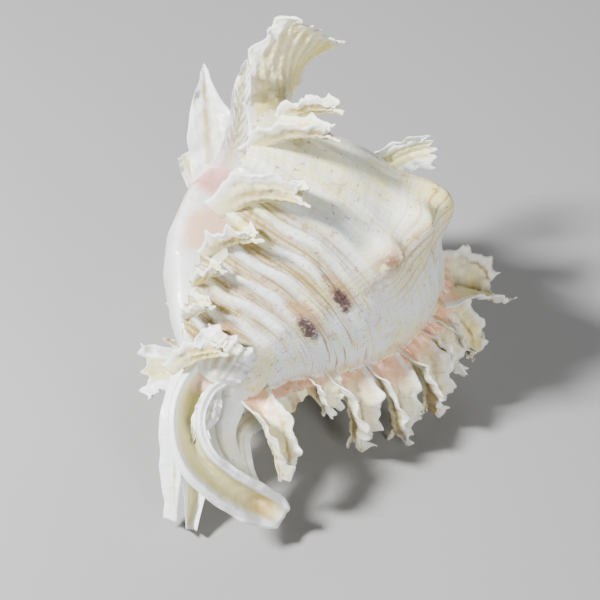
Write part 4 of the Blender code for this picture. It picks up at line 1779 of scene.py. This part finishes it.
class ShellFinishes:
    """Makes the finishes of the shell from their colours."""

    @classmethod
    def whorls(cls, glaze: Glaze) -> bpy.types.Material:
        """Glazed white whorls with cream bands, grooves in brown stain and painted shade, dark
        patches and pink lips.

        Args:
            glaze: its colours.

        Returns:
            The material, which reads the whorls' own growth attributes.
        """
        p = NodePainter(glaze.name, glaze.base)
        tints = WhorlTints()
        growth, level, lip = p.value("growth"), p.value("level"), p.value("inner_lip")
        groove = p.value("groove")
        fine = p.noise(260.0, 5.0, 0.6)
        drawn = p.drawn(growth * 0.42, level * 5.0, detail=4.0)
        spiral = p.drawn(growth * 0.035, level * 58.0, 9.0, rough=0.55)
        hair = p.drawn(growth * 0.03, level * 150.0, 3.0, detail=2.0, rough=0.5)
        lower = p.step(level, 0.34, 0.50)
        p.coat(tints.chalk, p.step(drawn, 0.50, 0.70) * 0.40)
        p.specks(glaze.warm, CREAM_CLOUDS)
        p.coat(glaze.warm, p.step(spiral, 0.52, 0.62) * 0.50)
        p.coat(glaze.warm, p.step(level, 0.46, 0.20) * p.step(growth, -60.0, -5.0) * 0.45)
        # brown stain and painted shade in the cord grooves of the lower levels
        p.coat(glaze.shade, p.step(groove, 0.12, 0.80) * lower
               * (p.step(hair, 0.45, 0.6) * 0.42 + 0.58))
        p.coat(tints.grit, p.step(groove, 0.45, 0.85)
               * p.step(p.noise(210.0, 4.0, 0.7), 0.50, 0.62) * 0.60)
        cls.knobs(p, tints, growth, level)
        between = p.step(growth, -28.0, -70.0) * p.step(growth, -119.0, -106.0)
        p.coat(tints.hairline, p.step(hair, 0.56, 0.63)
               * (between * p.band(level, 0.58, 0.17)) * 0.85)
        cls.patches(p, tints, growth, level)
        tip = p.band(growth, -63.0, 8.0) * p.band(level, 0.40, 0.055)
        p.coat(tints.tip, tip * p.step(p.noise(150.0), 0.36, 0.54))
        cls.borders(p, glaze, tints, growth, level)
        p.specks(glaze.rust, RUST_GRAINS)
        p.specks(tints.freckle, FRECKLES)
        specks = p.drawn(growth * 0.45, level * 90.0, 17.0)
        p.coat(tints.speck, p.step(specks, 0.60, 0.68) * 0.75
               * (lower * p.step(growth, -10.0, -40.0)))
        callus = p.step(lip, 0.2, 0.6)
        p.coat(tints.callus, callus * 0.80)
        ragged = (p.noise(60.0) - 0.5) * 1.3
        for blush in BLUSHES:
            there = p.step(p.near(blush.spot, blush.reach) + ragged, 0.18, 0.72)
            p.coat(blush.tint, there * p.step(lip, 0.02, 0.15) * blush.amount)
        p.coat(tints.callus_stain, callus * p.step(p.noise(55.0, 4.0, 0.65), 0.56, 0.68) * 0.55)
        p.coat(glaze.inner, p.value("inside") * 0.9)
        rough = p.step(fine, 0.3, 0.8) * 0.25 + glaze.roughness - callus * 0.10
        height = fine * 0.5 + p.noise(900.0, 3.0) * 0.25 + drawn * 0.45 + hair * 0.6
        return p.finish(rough, height * (1.0 - callus * 0.88))

    @staticmethod
    def knobs(p: NodePainter, tints: WhorlTints, growth: Tone, level: Tone) -> None:
        """Cream knobs with tan growth rings.

        Args:
            p: painter of the whorls.
            tints: colours of the markings.
            growth: growth angle at every point.
            level: level at every point.
        """
        first, second = (p.band(growth, place, half) for place, half in KNOBS)
        knob = (first + second) * p.step(level, 0.46, 0.34)
        bands = p.drawn(growth * 0.80, level * 3.0, 4.0)
        p.coat(tints.knob_cream, knob * (p.step(bands, 0.36, 0.56) * 0.70))
        ring = p.math("SINE", growth * 1.7 + bands * 9.0)
        p.coat(tints.knob_ring, knob * (p.step(ring, 0.35, 0.95) * 0.75))

    @staticmethod
    def patches(p: NodePainter, tints: WhorlTints, growth: Tone, level: Tone) -> None:
        """Two dark torn patches, each over a paler halo.

        Args:
            p: painter of the whorls.
            tints: colours of the markings.
            growth: growth angle at every point.
            level: level at every point.
        """
        streaks = p.drawn(growth * 0.30, level * 70.0, 7.0, detail=4.0, rough=0.7)
        for patch in PATCHES:
            there = p.band(growth, patch.growth, patch.wide) \
                * p.band(level, patch.level, patch.tall)
            torn = p.step(there * (streaks * 3.2 - 0.75), 0.05, 0.60)
            p.coat(tints.patch_halo if patch.halo else tints.patch,
                   torn * (0.80 if patch.halo else 0.95))

    @staticmethod
    def borders(p: NodePainter, glaze: Glaze, tints: WhorlTints, growth: Tone,
                level: Tone) -> None:
        """Pink and orange borders along the two old lips.

        Args:
            p: painter of the whorls.
            glaze: colours of the whorls.
            tints: colours of the markings.
            growth: growth angle at every point.
            level: level at every point.
        """
        for place in FORM.varices[1:3]:
            jag = (p.drawn(level * 42.0, place) - 0.5) * 5.0
            since = (growth - place) + jag
            rim = p.step(since, -3.0, -1.0) * p.step(since, 4.4, 3.5) * p.step(level, 0.88, 0.82)
            p.coat(glaze.edge, rim * 0.90)
            p.coat(tints.border, p.band(since, 3.8, 2.2) * 0.90)
            halo = p.step(since, 13.0, 4.0) * p.step(since, 3.0, 4.5) * p.step(level, 0.84, 0.76)
            p.coat(tints.border_halo, halo * 0.60)

    @staticmethod
    def scales(glaze: Glaze) -> bpy.types.Material:
        """Pale scales with tan and pink dapples.

        Args:
            glaze: colours of the whorls.

        Returns:
            The material.
        """
        p = NodePainter("shell_edge_scales", glaze.base)
        p.specks(glaze.edge, SCALE_PINK)
        p.specks(glaze.warm, SCALE_CREAM)
        fine = p.noise(420.0, 4.0, 0.6)
        return p.finish(fine * 0.2 + 0.34, fine, 0.0005)

    @staticmethod
    def fronds(glaze: Glaze, pink: float, cream: float, margin: float = 0.72,
               spot: Point | None = None) -> bpy.types.Material:
        """Frond sheet: paler margins, grooves in tan stain and painted shade, growth scales and
        rusty marks.

        Args:
            glaze: its colours.
            pink: how far along the frond its inner face keeps the inner colour, 0 to 1; on the
                canal pieces this inner colour is painted shade inside the trough.
            cream: how much warm cream lies over the whole sheet, 0 to 1.
            margin: how far across the sheet its pale margin starts, 0 to 1.
            spot: place of a brown stain in the row frame.

        Returns:
            The material, which reads the sheet's own attributes.
        """
        p = NodePainter(glaze.name, glaze.base)
        along, inner = p.value("along"), p.value("inner")
        across = p.math("ABSOLUTE", p.value("across"))
        broad = p.noise(50.0)
        fine = p.noise(300.0, 5.0, 0.6)
        p.coat(glaze.warm, cream)
        p.coat(glaze.warm, p.step(broad, 0.46, 0.62) * (0.25 + cream))
        # painted shade: the pleat grooves darkened with the shade colour, mixed with tan stain
        groove = p.step(p.value("ridge"), 0.10, -0.60) * p.step(along, 0.06, 0.30)
        p.coat(glaze.shade, groove * (p.step(p.noise(120.0, 3.0), 0.4, 0.6) * 0.4 + 0.45))
        scales = p.drawn(along * 24.0, across * 2.0)
        p.coat(glaze.shade, p.step(scales, 0.54, 0.70) * 0.30)
        # inner face: a pink flush towards the root on the fronds, painted shade over the whole
        # trough on the canal pieces
        root_flush_and_trough_shade = p.step(along + (broad - 0.5) * 0.5, pink, pink * 0.35) * inner
        p.coat(glaze.inner, root_flush_and_trough_shade * 0.80)
        if spot is not None:
            stain = p.near(spot, 0.016) * (inner * p.step(p.noise(110.0, 3.0), 0.36, 0.60))
            p.coat(SPOON_STAIN, stain * 0.85)
        p.coat(glaze.edge, p.step(across, margin, margin + 0.16) * 0.88)
        p.coat(glaze.edge, p.step(along, 0.93, 1.0) * 0.60)
        p.specks(glaze.rust, FROND_RUST)
        rough = p.step(fine, 0.3, 0.8) * 0.25 + glaze.roughness
        return p.finish(rough, fine * 0.5 + scales * 0.7)


@dataclass(frozen=True)
class Lamp:
    """One round area light: its place and width in metres, its power in watts."""

    name: str
    spot: Point
    size: float
    power: float


@dataclass(frozen=True)
class Studio:
    """Floor, soft lights and the photograph's camera, in metres and watts."""

    half_floor: float = 3.0
    floor_grey: float = 0.31
    aim: Point = (0.0, 0.0, 0.06)
    lamps: tuple[Lamp, ...] = (
        Lamp("key", (0.28, -0.72, 0.88), 0.20, 44.0),
        Lamp("fill", (0.85, 0.70, 0.45), 0.40, 9.5),
        Lamp("rim", (-0.85, 0.30, 0.70), 0.45, 4.0),
    )
    backdrop: Color = (0.80, 0.82, 0.85)
    backdrop_strength: float = 0.055
    sensor: float = 36.0

    def floor(self) -> None:
        """Plain pale floor."""
        mesh = bpy.data.meshes.new("floor")
        h = self.half_floor
        mesh.from_pydata([(-h, -h, 0), (h, -h, 0), (h, h, 0), (-h, h, 0)], [], [(0, 1, 2, 3)])
        obj = MeshKit.place("floor", mesh)
        paint = bpy.data.materials.new("floor")
        paint.use_nodes = True
        shader = paint.node_tree.nodes["Principled BSDF"]
        shader.inputs["Base Color"].default_value = (*[self.floor_grey] * 3, 1.0)
        shader.inputs["Roughness"].default_value = 0.75
        mesh.materials.append(paint)

    def light(self, lamp: Lamp) -> None:
        """Round area light aimed at the shell.

        Args:
            lamp: its name, place, width and power.
        """
        data = bpy.data.lights.new(lamp.name, "AREA")
        data.shape = "DISK"
        data.size = lamp.size
        data.energy = lamp.power
        obj = MeshKit.place(lamp.name, data)
        obj.location = lamp.spot
        aim = Vector(self.aim) - Vector(lamp.spot)
        obj.rotation_euler = aim.to_track_quat("-Z", "Y").to_euler()

    def camera(self) -> None:
        """Camera at the photograph's viewing angle."""
        eye = bpy.data.cameras.new("camera")
        eye.sensor_width = self.sensor
        eye.lens = self.sensor * REST.distance / REST.field_mm
        eye.clip_start = 0.01
        obj = MeshKit.place("camera", eye)
        obj.matrix_world = REST.camera_matrix()
        bpy.context.scene.camera = obj

    def build(self) -> None:
        """Floor, lights, background and camera."""
        self.floor()
        for lamp in self.lamps:
            self.light(lamp)
        world = bpy.data.worlds.new("studio")
        world.use_nodes = True
        sky = world.node_tree.nodes["Background"]
        sky.inputs["Color"].default_value = (*self.backdrop, 1.0)
        sky.inputs["Strength"].default_value = self.backdrop_strength
        bpy.context.scene.world = world
        self.camera()


def settle(obj: bpy.types.Object) -> None:
    """Lay a finished piece in the row frame, its lowest tips worn flat on the floor.

    Args:
        obj: piece in shell axes; it is tied to the shell as well.
    """
    mesh = obj.data
    mesh.transform(REST.matrix())
    spots = MeshKit.spots(mesh)
    spots[:, 2] = np.maximum(spots[:, 2], 0.0)
    mesh.vertices.foreach_set("co", spots.ravel())
    mesh.update()
    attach(obj, "root")
    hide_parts("shell")
    LOG.info("%s: %d faces", obj.name, len(obj.data.polygons))


def plain(box: Sequence[Sequence[float]]) -> list[list[float]]:
    """Bounds as plain lists of numbers."""
    return [[float(v) for v in corner] for corner in box]


def main() -> None:
    """Build every piece of the shell, then the studio."""
    logging.basicConfig(level=logging.INFO, format="%(name)s %(message)s")
    whorls, surface = Whorls().build()
    settle(whorls)
    for zone in Zone:
        settle(FrondRow(zone).build())
    settle(CanalPiece().build())
    settle(EdgeScales().build(surface))
    Studio().build()


if __name__ == "__main__":
    main()
